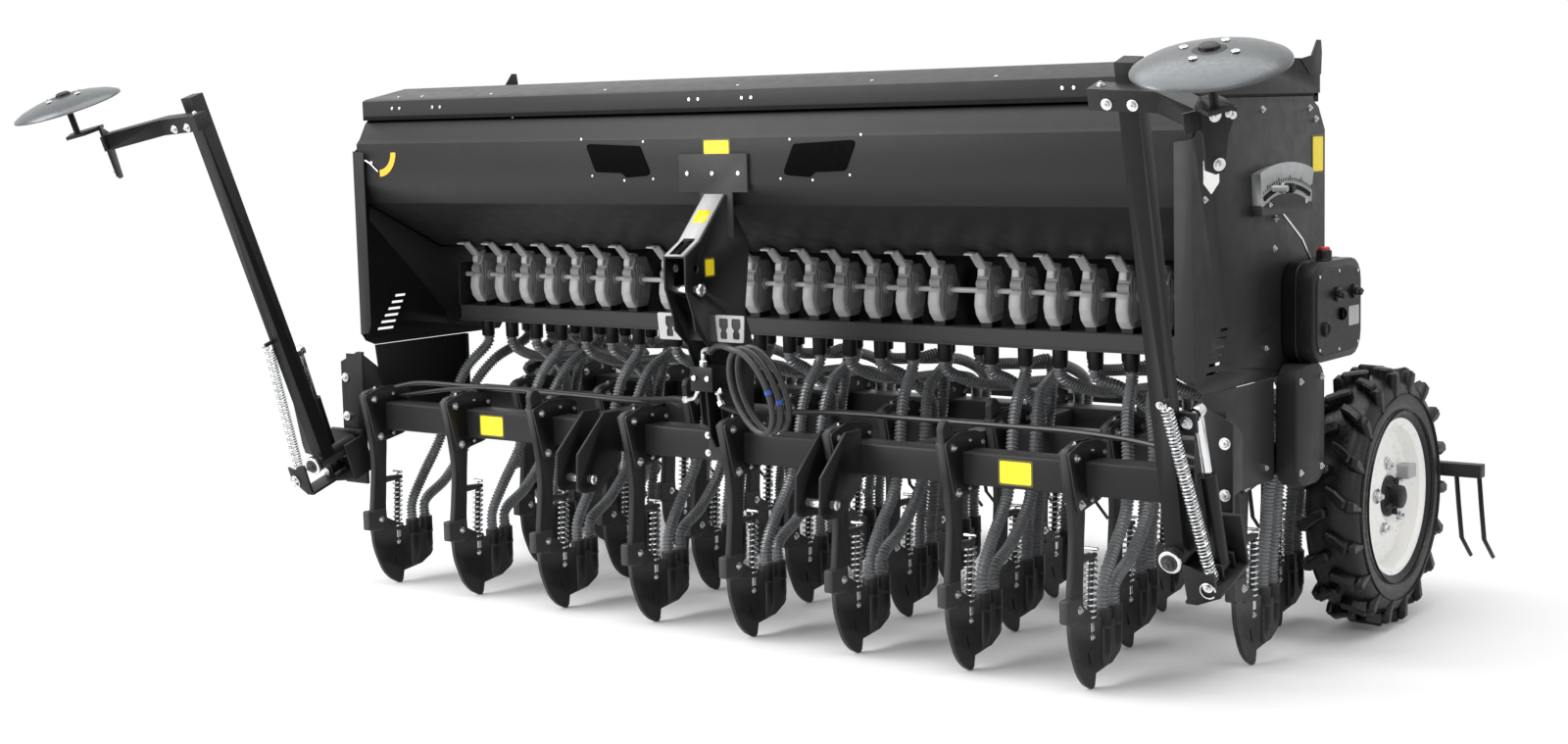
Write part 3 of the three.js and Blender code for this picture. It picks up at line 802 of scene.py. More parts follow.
class Hardware:
    """Bolts, pins and springs that repeat all over the machine, each modelled once and copied."""

    _stock: dict[str, bpy.types.Object] = {}

    @classmethod
    def _hex(cls) -> bpy.types.Object:
        """Models one unit bolt head with its washer, looking along +Z, and returns it."""
        if "hex" not in cls._stock:
            bpy.ops.object.select_all(action="DESELECT")
            bpy.ops.mesh.primitive_cylinder_add(vertices=6, radius=0.58, depth=0.42, location=(0, 0, 0.33))
            head = Bench.bevelled(Bench.settle(bpy.context.object), 0.05, angle=50)
            bpy.ops.object.select_all(action="DESELECT")
            bpy.ops.mesh.primitive_cylinder_add(vertices=14, radius=0.86, depth=0.12, location=(0, 0, 0.06))
            washer = Bench.settle(bpy.context.object)
            bpy.ops.object.select_all(action="DESELECT")
            bpy.ops.mesh.primitive_cylinder_add(vertices=8, radius=0.26, depth=0.3, location=(0, 0, 0.68))
            thread = Bench.settle(bpy.context.object)
            cls._stock["hex"] = cls._shelved(Bench.joined("stock_hex", [head, washer, thread]))
        return cls._stock["hex"]

    @classmethod
    def _dome(cls) -> bpy.types.Object:
        """Models one unit rivet or coach bolt head, looking along +Z, and returns it."""
        if "dome" not in cls._stock:
            bpy.ops.object.select_all(action="DESELECT")
            bpy.ops.mesh.primitive_cylinder_add(vertices=12, radius=0.5, depth=0.24, location=(0, 0, 0.12))
            obj = Bench.settle(bpy.context.object)
            cls._stock["dome"] = cls._shelved(Bench.bevelled(obj, 0.12, segments=2, angle=50))
        return cls._stock["dome"]

    @staticmethod
    def _shelved(obj: bpy.types.Object) -> bpy.types.Object:
        """Takes a finished stock mesh out of the scene so that only its copies show."""
        bpy.context.scene.collection.objects.unlink(obj)
        return obj

    @classmethod
    def _set(cls, stock: bpy.types.Object, place: Vector, facing: Vector, size: float) -> bpy.types.Object:
        """Copies a stock piece to place, looking along facing, size metres across."""
        turn = facing.to_track_quat("Z", "Y").to_matrix().to_4x4()
        return Bench.copy(stock, Matrix.Translation(place) @ turn @ Matrix.Scale(size, 4))

    @classmethod
    def bolt(cls, place: Vector, facing: Vector, size: float = 14.0) -> bpy.types.Object:
        """A zinc-plated hexagon bolt on a washer, size millimetres across, looking along facing."""
        return Fitter.dress(cls._set(cls._hex(), place, facing, size * MM), Look.ZINC)

    @classmethod
    def rivet(cls, place: Vector, facing: Vector, size: float = 9.0, look: Look = Look.ZINC
              ) -> bpy.types.Object:
        """A round head, size millimetres across, looking along facing."""
        return Fitter.dress(cls._set(cls._dome(), place, facing, size * MM), look)

    @staticmethod
    def coil(start: Vector, end: Vector, radius: float, wire: float, turns: float, steps: int = 12,
             rings: int = 1) -> bpy.types.Object:
        """A wire spring.

        Args:
            start: centre of its first turn in metres.
            end: centre of its last turn.
            radius: radius of its turns in millimetres.
            wire: radius of its wire.
            turns: number of turns.
            steps: chords in a turn.
            rings: half the extra sides of the wire's section.

        Returns:
            The spring.
        """
        along = end - start
        turn = along.to_track_quat("Z", "Y").to_matrix()
        count = int(turns * steps)
        points = [start + along * (i / count)
                  + turn @ Vector((radius * MM * math.cos(2 * math.pi * i / steps),
                                   radius * MM * math.sin(2 * math.pi * i / steps), 0))
                  for i in range(count + 1)]
        return Bench.pipe(points, wire, rings)


# ---- toolbars and coulters --------------------------------------------------------------------------


@dataclass(frozen=True)
class Coulters:
    """Three square toolbars with eight sprung hoe coulters each.

    Coulters are drawn as Y behind the toolbar's front face and Z, and sit at X = 0 before they are copied.
    """

    shank_half: float = 10.5
    share_half: float = 7.0
    socket_radius: float = 23.0
    spring_foot: tuple[float, float] = (40.0, 184.0)
    spring_top: tuple[float, float] = (53.0, 360.0)

    def build(self) -> None:
        """Builds the rows."""
        iron = self._iron()
        head = self._tall_head()
        bright = self._bright()
        for row, (name, start) in enumerate(ROW_STARTS.items()):
            bar = self._toolbar(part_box(f"{name}_row")[1].x / MM, row)
            castings = []
            fittings = []
            for i in range(COULTERS):
                move = Matrix.Translation(Vector((start + COULTER_PITCH * i, ROW_PITCH * row, 0)) * MM)
                castings.append(Bench.copy(iron, move))
                if i in TALL_HEADS[name]:
                    castings.append(Bench.copy(head, move))
                fittings.append(Bench.copy(bright, move))
            Fitter.fit(f"{name}_toolbar", bar, "frame", "black_paint", (f"{name}_row",))
            Fitter.fit(f"{name}_coulters", castings, "frame", "black_paint", (f"{name}_row",))
            Fitter.fit(f"{name}_coulter_springs", fittings, "frame", "zinc_steel", (f"{name}_row",))
        for stock in (iron, head, bright):
            bpy.data.objects.remove(stock)

    @staticmethod
    def _toolbar(half: float, row: int) -> list[bpy.types.Object]:
        """Makes the square tube of a row with rounded edges and open ends."""
        y0 = ROW_PITCH * row
        tube = Bench.block((-half, y0, BAR_TOP - BAR), (half, y0 + BAR, BAR_TOP), 0)
        Bench.take(tube)
        bpy.ops.object.mode_set(mode="EDIT")
        mesh = bmesh.from_edit_mesh(tube.data)
        for face in mesh.faces:
            face.select_set(abs(face.normal.x) > 0.9)
        bmesh.update_edit_mesh(tube.data)
        bpy.ops.mesh.inset(thickness=6 * MM)
        bpy.ops.mesh.extrude_region_move()
        for vertex in [v for v in bmesh.from_edit_mesh(tube.data).verts if v.select]:
            vertex.co.x -= math.copysign(60 * MM, vertex.co.x)
        bmesh.update_edit_mesh(tube.data)
        bpy.ops.object.mode_set(mode="OBJECT")
        Bench.bevelled(tube, 7 * MM, segments=3, angle=60)
        Bench.tidied(tube)
        return [Fitter.dress(tube, Look.PAINT)]

    def _iron(self) -> bpy.types.Object:
        """Models the black castings of one coulter and returns them as one mesh."""
        front = [(-92, 642), (-74, 550), (-60, 460), (-57, 410), (-65, 320), (-72, 262), (-74, 190)]
        back = [(-4, 190), (-10, 262), (-6, 320), (0, 418), (5, 493), (-4, 530), (-6, 640)]
        rise = [tuple(p.xy) for p in smooth_path([(y, z, 0) for y, z in front], 4)]
        fall = [tuple(p.xy) for p in smooth_path([(y, z, 0) for y, z in reversed(back)], 4)]
        crown = [(-8, 656), (-20, 662), (-62, 662), (-84, 656)]
        shank = Bench.plate([*reversed(rise), *reversed(crown), *fall], -self.shank_half, self.shank_half,
                            Plane.X, 3.5)
        nose = [tuple(p.xy) for p in smooth_path(
            [(y, z, 0) for y, z in ((-74, 200), (-66, 140), (-50, 95), (-27, 50), (5, 18), (36, 1))], 4)]
        heel = [(46, 1), (54, 8), (60, 38), (137, 48), (137, 178), (100, 184), (-4, 200)]
        share = Bench.plate([*nose, *heel], -self.share_half, self.share_half, Plane.X, 2.0,
                            holes=[[(15, 102), (20, 104), (31, 69), (26, 67)]])
        parts = [shank, share, *self._clamp(), *self._boot(), *self._bracket()]
        for part in parts:
            Fitter.dress(part, Look.CAST)
        return Hardware._shelved(Bench.joined("stock_coulter", parts))

    @staticmethod
    def _clamp() -> list[bpy.types.Object]:
        """Makes the strap that holds the share to the shank."""
        strap = Bench.plate(filleted([(-98, 198), (-16, 198), (-16, 262), (-98, 262)], 6), -14.5, 14.5,
                            Plane.X, 4.0)
        lug = Bench.plate(filleted([(-30, 186), (60, 176), (62, 200), (20, 214), (-30, 240)], 6), -12, 12,
                          Plane.X, 2.0)
        arm = Bench.plate(filleted([(-10, 346), (36, 348), (68, 350), (68, 362), (34, 364), (-8, 366)], 4),
                          -10, 10, Plane.X, 2.0)
        return [strap, lug, arm]

    def _boot(self) -> list[bpy.types.Object]:
        """Makes the two sockets behind the share that the hoses end in."""
        parts = []
        for y, low in ((BOOT_Y["seed"], 66), (BOOT_Y["fertiliser"], 84)):
            r = self.socket_radius
            profile = [(0, low), (r - 8, low), (r - 1, low + 22), (r - 1, 150), (r + 1, 152), (r + 1, 158),
                       (r, 160), (r, BOOT_TOP - 3), (r - 1, BOOT_TOP), (r - 5, BOOT_TOP - 1),
                       (r - 6, BOOT_TOP - 30), (0, BOOT_TOP - 30)]
            parts.append(Bench.lathe(profile, spot(0, y, 0), Vector((0, 0, 1)), 20))
        web = [(92, 48), (137, 50), (180, 72), (190, 84), (190, 170), (92, 170)]
        parts.append(Bench.plate(filleted(web, 6, 2), -14, 14, Plane.X, 3.0))
        return parts

    @staticmethod
    def _bracket() -> list[bpy.types.Object]:
        """Makes the two plates that clamp the shank round the toolbar."""
        outline = [(-88, 640), (-50, 500), (-40, 486), (-20, 486), (72, 503), (112, 520), (112, 650),
                   (60, 664), (-17, 668), (-84, 648)]
        window = [(-2, 521), (92, 521), (92, 615), (-2, 615)]
        parts = []
        for side in (1, -1):
            x = 13.5 * side
            parts.append(Bench.plate(filleted(outline, 7, 2), x - 3, x + 3, Plane.X, 1.2, holes=[window]))
        parts.append(Bench.block((-10.5, 96, 530), (10.5, 108, 640), 2))
        return parts

    @staticmethod
    def _tall_head() -> bpy.types.Object:
        """Models the rounded lug on top of some shanks."""
        lug = Bench.plate(filleted([(-90, 640), (-94, 684), (-84, 702), (-64, 706), (-46, 694), (-36, 670),
                                    (-36, 640)], 8), -10.5, 10.5, Plane.X, 3.0)
        return Hardware._shelved(Fitter.dress(lug, Look.CAST))

    def _bright(self) -> bpy.types.Object:
        """Models the zinc-plated spring, rod and bolts of one coulter."""
        foot = spot(0, *self.spring_foot)
        top = spot(0, *self.spring_top)
        along = (top - foot).normalized()
        parts = [Hardware.coil(foot + along * 0.004, top - along * 0.012, 15.5, 3.3, 10, 12, 1)]
        parts.append(Bench.pipe([foot - along * 0.03, top + along * 0.012], 4.0, 1))
        cross = self.spring_top[1] + 14
        parts.append(Bench.rod((-20, self.spring_top[0], cross), (20, self.spring_top[0], cross), 5.0, 12,
                               1.5))
        for side in (-8, 8):
            parts.append(Bench.block((side - 2, self.spring_foot[0] - 8, self.spring_foot[1] - 30),
                                     (side + 2, self.spring_foot[0] + 8, self.spring_foot[1]), 1))
        for part in parts:
            Fitter.dress(part, Look.SPRING)
        guide = Bench.pipe([foot + along * 0.004, top - along * 0.012], 9.0, 1)
        parts.append(Fitter.dress(guide, Look.PAINT))
        for side in (1, -1):
            facing = Vector((side, 0, 0))
            for y, z, size in ((-50, 630, 15), (-29, 504, 15), (35, 640, 8), (29, 509, 8), (71, 516, 8),
                               (98, 628, 10)):
                parts.append(Hardware.bolt(spot(16.5 * side, y, z), facing, size))
            parts.append(Hardware.bolt(spot(14.5 * side, -40, 228), facing, 13))
            parts.append(Hardware.bolt(spot(7 * side, 38, 140), facing, 10))
        parts.append(Hardware.bolt(spot(0, -30, 662), Vector((0, 0, 1)), 10))
        return Hardware._shelved(Bench.joined("stock_coulter_bright", parts))


# ---- ribbed hoses -----------------------------------------------------------------------------------


@dataclass(frozen=True)
class RibbedHoses:
    """Two ribbed hoses from every pair of meters down to a coulter's sockets."""

    pitch: float = 10.5
    crest: float = 18.0
    groove: float = 13.6
    sides: int = 10
    spout_top: float = 858.0
    spout_end: float = 800.0
    beam: tuple[float, float, float] = (34.0, 856.0, 906.0)
    beam_half: float = 1440.0

    def build(self) -> None:
        """Builds the beams, the spouts and the hoses."""
        rib = self._rib()
        for kind, y0 in METER_Y.items():
            hoses = [Fitter.dress(self._hose(rib, self._route(kind, meter, coulter)), Look.RIBBED)
                     for meter, coulter in self._drops()]
            Fitter.fit(f"{kind}_hoses", hoses, "frame", "ribbed_hose", (f"{kind}_tubes",))
            Fitter.fit(f"{kind}_outlet_beam", self._outlets(y0), "frame", "black_paint", (f"{kind}_tubes",))
        bpy.data.objects.remove(rib)

    @staticmethod
    def meter_places() -> list[float]:
        """Returns the X of every meter, from left to right."""
        inner = [(i + 0.5) * METER_PITCH for i in range(5)]
        outer = [667 + METER_PITCH * i for i in range(7)]
        places = inner + outer
        return [-x for x in reversed(places)] + places

    def _drops(self) -> list[tuple[float, float]]:
        """Pairs every meter's X with its coulter's."""
        first = ROW_STARTS["front"]
        return [(x, first + 125 * i) for i, x in enumerate(self.meter_places())]

    @staticmethod
    def _row_of(x: float) -> int:
        """Returns the row of the coulter at x."""
        for row, start in enumerate(ROW_STARTS.values()):
            if abs((x - start) % COULTER_PITCH) < 1:
                return row
        raise ValueError(f"no coulter at {x}")

    def _route(self, kind: str, meter: float, coulter: float) -> list[Vector]:
        """The path of one hose.

        Args:
            kind: seed or fertiliser.
            meter: X of its meter.
            coulter: X of its coulter.

        Returns:
            Points of its middle line in metres.
        """
        rear = kind == "fertiliser"
        y0 = METER_Y[kind]
        row = self._row_of(coulter)
        foot = ROW_PITCH * row + BOOT_Y[kind]
        lift = 40 if rear else 0
        side = coulter + 44
        lean = meter + 0.4 * (coulter - meter)
        if row == 0 and rear:
            middle = [(lean, 475, 710), (coulter, 412, 600), (coulter, 385, 440), (coulter, 275, 318)]
        elif row == 0:
            middle = [(lean, 335, 690), (coulter, 250, 450), (coulter, 165, 340)]
        else:
            first = [((meter + side) / 2, y0 + 60 + lift / 2, 742 + lift)] if row == 1 else [
                ((meter + side) / 2, y0 + 130, 720 + lift), (side, foot - 110, 690 + lift)]
            middle = [*first, (side, foot + 15, 645 + lift / 4), (coulter + 10, foot + 24, 480),
                      (coulter + 2, foot + 12, 335)]
        points = [(meter, y0, self.spout_end + 20), (meter, y0, 780), *middle, (coulter, foot, BOOT_TOP + 50),
                  (coulter, foot, BOOT_TOP - 20)]
        return smooth_path([spot(*p) for p in points], 6)

    def _rib(self) -> bpy.types.Object:
        """Models one rib of the hose along +X."""
        rings = [(0.0, self.groove), (0.24, self.crest), (0.56, self.crest), (0.8, self.groove),
                 (1.0, self.groove)]
        sections = []
        for along, radius in rings:
            sections.append([Vector((along * self.pitch, radius * math.cos(2 * math.pi * k / self.sides),
                                     radius * math.sin(2 * math.pi * k / self.sides))) * MM
                             for k in range(self.sides)])
        rib = Bench.loft(sections)
        Bench.take(rib)
        bpy.ops.object.mode_set(mode="EDIT")
        mesh = bmesh.from_edit_mesh(rib.data)
        for face in mesh.faces:
            face.select_set(abs(face.normal.x) > 0.98)
        bmesh.update_edit_mesh(rib.data)
        bpy.ops.mesh.delete(type="ONLY_FACE")
        bpy.ops.object.mode_set(mode="OBJECT")
        return Hardware._shelved(rib)

    @staticmethod
    def _hose(rib: bpy.types.Object, route: Sequence[Vector]) -> bpy.types.Object:
        """Repeats the rib along a route and returns the hose."""
        curve = bpy.data.curves.new("route", "CURVE")
        curve.dimensions = "3D"
        spline = curve.splines.new("POLY")
        spline.points.add(len(route) - 1)
        for point, place in zip(spline.points, route):
            point.co = (*place, 1)
        path = bpy.data.objects.new("route", curve)
        bpy.context.scene.collection.objects.link(path)
        hose = Bench.copy(rib, Matrix.Identity(4))
        Bench.modify(hose, "ARRAY", fit_type="FIT_CURVE", curve=path, use_merge_vertices=True,
                     merge_threshold=1e-4, relative_offset_displace=(1, 0, 0))
        Bench.modify(hose, "CURVE", object=path, deform_axis="POS_X")
        bpy.data.objects.remove(path)
        bpy.ops.object.shade_smooth_by_angle(angle=math.radians(50))
        return hose

    def _outlets(self, y0: float) -> list[bpy.types.Object]:
        """Makes the beam under a row of meters and the spouts that the hoses are pushed on."""
        half, low, high = self.beam
        beam = Bench.block((-self.beam_half, y0 - half, low), (self.beam_half, y0 + half, high), 3)
        lip = Bench.block((-self.beam_half, y0 - half - 5, low - 3),
                          (self.beam_half, y0 - half + 12, low + 3), 1)
        parts = [Fitter.dress(beam, Look.PAINT), Fitter.dress(lip, Look.PAINT)]
        spout = Bench.lathe([(0, self.spout_end), (19.5, self.spout_end), (21.5, self.spout_end + 4),
                             (22.5, self.spout_top), (0, self.spout_top)], spot(0, y0, 0), Vector((0, 0, 1)),
                            16)
        for x in self.meter_places():
            parts.append(Fitter.dress(Bench.copy(spout, Matrix.Translation((x * MM, 0, 0))),
                                      Look.BLACK_PLASTIC))
        bpy.data.objects.remove(spout)
        return parts


# ---- plain plates and castings ----------------------------------------------------------------------


@dataclass(frozen=True)
class Skin:
    """A CAD node whose shape stays, with softened edges and a finish.

    Args:
        node: the CAD node.
        body: the body it belongs to.
        slot: its material slot; not used.
        bevel: width of the softened edges in millimetres.
        look: its finish.
    """

    node: str
    body: str
    slot: str
    bevel: float
    look: Look


class Skins:
    """Softened copies of the plates, rails, arms and castings."""

    SINGLE = (Skin("hopper", "frame", "black_paint", 1.2, Look.PAINT),
              Skin("lid", "lid", "black_paint", 1.5, Look.PAINT),
              Skin("drive_gearbox", "frame", "black_plastic", 5, Look.BLACK_PLASTIC),
              Skin("chain_guard", "frame", "black_paint", 5, Look.PAINT),
              Skin("rate_scale", "frame", "plated_scale", 0.8, Look.SCALE),
              Skin("harrow", "frame", "black_paint", 2, Look.PAINT),
              Skin("walkway", "frame", "black_paint", 1, Look.PAINT),
              Skin("headstock", "frame", "black_paint", 1.2, Look.PAINT),
              Skin("valve_block", "frame", "zinc_steel", 3, Look.BLACK_PLASTIC),)
    PAIRED = (
        Skin("side_panel", "frame", "black_paint", 0.8, Look.PAINT),
        Skin("lower_panel", "frame", "black_paint", 0.8, Look.PAINT),
        Skin("wheel_arm", "frame", "black_paint", 2, Look.PAINT),
        Skin("rear_arm", "frame", "black_paint", 2, Look.PAINT),
        Skin("front_rail", "frame", "black_paint", 4, Look.PAINT),
        Skin("rear_rail", "frame", "black_paint", 4, Look.PAINT),
        Skin("lower_link", "frame", "black_paint", 1.2, Look.PAINT),
        Skin("marker_bracket", "frame", "black_paint", 1.2, Look.PAINT),
        Skin("marker_arm", "marker", "black_paint", 1.5, Look.PAINT),
        Skin("ram_barrel", "ram_barrel", "black_paint", 1.5, Look.BLACK_PLASTIC),
        Skin("ram_rod", "ram_rod", "chrome_rod", 0.8, Look.CHROME),
    )

    def build(self) -> None:
        """Builds the copies."""
        for skin in self.SINGLE:
            self._put(skin, skin.node, skin.body)
        for skin in self.PAIRED:
            for side in SIDES:
                body = skin.body if skin.body == "frame" else f"{skin.body}_{side}"
                self._put(skin, f"{skin.node}_{side}", body)

    @staticmethod
    def _put(skin: Skin, node: str, body: str) -> None:
        """Makes one copy for the node, on the body."""
        piece = Fitter.dress(Bench.refined(node, skin.bevel), skin.look)
        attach(piece, body)


# ---- meters -----------------------------------------------------------------------------------------


@dataclass(frozen=True)
class Meters:
    """Two rows of moulded metering housings, each row on its shaft.

    A housing is drawn at the seed row; the fertiliser row is its mirror image.
    """

    half: float = 21.0
    shaft_half: float = 1440.0

    def build(self) -> None:
        """Builds both rows."""
        unit = self._unit()
        seed = spot(0, METER_Y["seed"], 0)
        for kind, y0 in METER_Y.items():
            turn = Matrix.Diagonal((1, 1 if kind == "seed" else -1, 1, 1))
            parts = [Bench.copy(unit, Matrix.Translation(spot(x, y0, 0)) @ turn @ Matrix.Translation(-seed))
                     for x in RibbedHoses.meter_places()]
            shaft = Bench.rod((-self.shaft_half, y0, METER_Z), (self.shaft_half, y0, METER_Z), 8, 12, 1)
            parts.append(Fitter.dress(shaft, Look.METER_LIGHT))
            for side in (1, -1):
                plate = Bench.plate(filleted([(y0 - 40, 905), (y0 + 40, 905), (y0 + 34, 1050), (y0 - 34,
                                                                                                1050)], 8),
                                    side * 1438 - 3, side * 1438 + 3, Plane.X, 1)
                parts.append(Fitter.dress(plate, Look.PAINT))
                parts.append(Hardware.bolt(spot(side * 1441, y0, METER_Z), Vector((side, 0, 0)), 22))
            Fitter.fit(f"{kind}_meter_row", parts, "frame", "grey_plastic", (f"{kind}_meters",))
        bpy.data.objects.remove(unit)
        # A black sheet between the meter rows, painted shade where the gap behind them is dark.
        back = Bench.block((-1440, 511, 900), (1440, 514, 1112), 0.5)
        Fitter.fit("meter_shade_sheet", [back], "frame", "black_paint", look=Look.SHADE)

    def _unit(self) -> bpy.types.Object:
        """Models one housing and returns it."""
        y, z = METER_Y["seed"], METER_Z

        def at(points: Outline) -> list[tuple[float, float]]:
            """Returns the points moved from the shaft's middle to their place on the machine."""
            return [(y + a, z + b) for a, b in points]

        body = Bench.plate(filleted(at([(-42, 40), (-28, 74), (28, 74), (58, 10), (30, -86), (-20, -90),
                                        (-42, -50),
                                        (-34, -4)]), 14), -self.half, self.half, Plane.X, 3)
        cover = Bench.plate(filleted(at([(-46, 8), (-57, -6), (-61, -38), (-52, -68), (-32, -90), (-16, -92),
                                         (-16, -20), (-30, 8)]), 14), -20, 20, Plane.X, 7)
        lever = Bench.plate(at([(-20, 76), (-44, 80), (-92, 119), (-118, 114), (-118, 109), (-94, 113), (-50,
                                                                                                         70),
                                (-20, 62)]), -16, 16, Plane.X, 1)
        clip = Bench.plate(filleted(at([(-52, 44), (-50, 66), (-22, 86), (-6, 84), (-6, 66), (-34, 44)]), 6),
                           -12, 12, Plane.X, 2)
        dark = Bench.rod((-18, y - 34, z + 22), (18, y - 34, z + 22), 17, 14)
        parts = [Fitter.dress(body, Look.METER), Fitter.dress(cover, Look.METER_LIGHT),
                 Fitter.dress(lever, Look.METER_LIGHT), Fitter.dress(clip, Look.METER_LIGHT),
                 Fitter.dress(dark, Look.METER)]
        for side in (1, -1):
            edge = self.half * side
            for i in range(7):
                low, high = sorted((edge, edge + 3 * side))
                rib = Bench.block((low, y - 26 + 9 * i, z - 72 + 2 * i),
                                  (high, y - 23 + 9 * i, z + 52 - 3 * i), 0.6)
                parts.append(Fitter.dress(rib, Look.METER))
            low, high = sorted((edge, edge + 5 * side))
            parts.append(Fitter.dress(Bench.rod((low, y, z), (high, y, z), 18, 16, 1), Look.METER_LIGHT))
        neck = Bench.block((-19, y - 26, 905), (19, y + 26, z - 84), 2)
        parts.append(Fitter.dress(neck, Look.BLACK_PLASTIC))
        return Hardware._shelved(Bench.joined("stock_meter", parts))


# ---- wheels -----------------------------------------------------------------------------------------


@dataclass(frozen=True)
class Wheels:
    """Two lugged tyres on white rims with black hubs, drawn for the right side."""

    centre: tuple[float, float, float] = (1532.0, 1124.0, 381.0)
    lugs: int = 18
    nuts: int = 5

    def build(self) -> None:
        """Builds both wheels."""
        tyre = self._tyre()
        rim = self._rim()
        stock = {"right": (tyre, rim), "left": (Bench.mirrored(tyre), Bench.mirrored(rim))}
        for side, (rubber, metal) in stock.items():
            Fitter.fit(f"lugged_tyre_{side}", rubber, f"wheel_{side}", "tyre", (f"tyre_{side}",))
            Fitter.fit(f"dished_rim_{side}", metal, f"wheel_{side}", "white_rim", (f"rim_{side}",))

    def _around(self, obj: bpy.types.Object, degrees: float) -> bpy.types.Object:
        """Copies obj, turned about the axle."""
        hub = spot(*self.centre)
        turn = Matrix.Rotation(math.radians(degrees), 4, "X")
        return Bench.copy(obj, Matrix.Translation(hub) @ turn @ Matrix.Translation(-hub))

    def _tyre(self) -> list[bpy.types.Object]:
        """Makes the carcass and its lugs."""
        half = [(224, 60), (230, 68), (246, 76), (272, 81), (300, 81), (324, 76), (340, 64), (349, 46),
                (352, 0)]
        profile = [(r, -h) for r, h in half] + [(r, h) for r, h in reversed(half[:-1])]
        carcass = Bench.lathe(profile, spot(*self.centre), Vector((1, 0, 0)), 72)
        x, y, z = self.centre
        crown = Bench.plate(filleted([(x - 6, y - 8), (x + 20, y - 22), (x + 58, y - 52), (x + 66, y - 22),
                                      (x + 30, y + 6),
                                     (x - 2, y + 20)], 6, 2), z + 330, z + 377, Plane.Z, 6)
        shoulder = Bench.plate(filleted([(y - 58, z + 292), (y - 34, z + 288), (y - 18, z + 340), (y - 20, z
                                                                                                   + 370),
                                         (y - 54, z + 366)], 8, 2), x + 50, x + 84, Plane.X, 9)
        stock = Bench.joined("stock_lug", [crown, shoulder])
        other = Bench.copy(stock, Matrix.Translation((2 * x * MM, 0, 0)) @ Matrix.Diagonal((-1, 1, 1, 1)))
        parts = [carcass]
        for i in range(self.lugs):
            parts.append(self._around(stock, 360 * i / self.lugs))
            parts.append(self._around(other, 360 * (i + 0.5) / self.lugs))
        for spare in (stock, other):
            bpy.data.objects.remove(spare)
        for radius in (252, 300):
            ring = Bench.lathe([(radius - 2, 79), (radius, 86), (radius + 2, 79)], spot(*self.centre),
                               Vector((1, 0, 0)), 64)
            parts.append(ring)
        return [Fitter.dress(part, Look.TYRE) for part in parts]

    def _rim(self) -> list[bpy.types.Object]:
        """Makes the dished rim, the hub, its ribs and the wheel nuts."""
        profile = [(30, 36), (62, 40), (78, 48), (150, 36), (188, 20), (199, 18), (204, 34), (208, 56),
                   (219, 66), (229, 67), (230, 62), (224, 56), (222, 40), (222, -40), (224, -56), (230, -62),
                   (229, -67), (219, -66), (208, -56), (204, -34), (196, 4), (186, 10), (150, 28), (78, 40),
                   (62, 32), (30, 28)]
        dish = Bench.lathe(profile, spot(*self.centre), Vector((1, 0, 0)), 72)
        hub = Bench.lathe([(0, 88), (26, 88), (33, 84), (36, 60), (54, 52), (60, 46), (60, 38), (0, 38)],
                          spot(*self.centre), Vector((1, 0, 0)), 32)
        back = Bench.lathe([(0, 30), (58, 30), (58, 10), (40, 4), (40, -60), (0, -60)], spot(*self.centre),
                           Vector((1, 0, 0)), 28)
        parts = [Fitter.dress(dish, Look.RIM), Fitter.dress(hub, Look.PAINT), Fitter.dress(back, Look.PAINT)]
        x, y, z = self.centre
        rib = Fitter.dress(Bench.block((x + 40, y - 2.5, z + 30), (x + 66, y + 2.5, z + 56), 1), Look.PAINT)
        nut = Hardware.bolt(spot(x + 44, y, z + 96), Vector((1, 0, 0)), 26)
        for i in range(self.nuts):
            parts.append(self._around(nut, 72 * i + 10))
            parts.append(self._around(rib, 72 * i + 46))
        for spare in (nut, rib):
            bpy.data.objects.remove(spare)
        box = Bench.block((x + 40, y + 50, z + 44), (x + 84, y + 110, z + 84), 3)
        parts.append(Fitter.dress(box, Look.GREY_PLATE))
        valve = Bench.rod((x + 10, y - 150, z - 118), (x + 44, y - 146, z - 114), 4.5, 10, 1)
        parts.append(Fitter.dress(valve, Look.BLACK_PLASTIC))
        return parts


# ---- markers ----------------------------------------------------------------------------------------


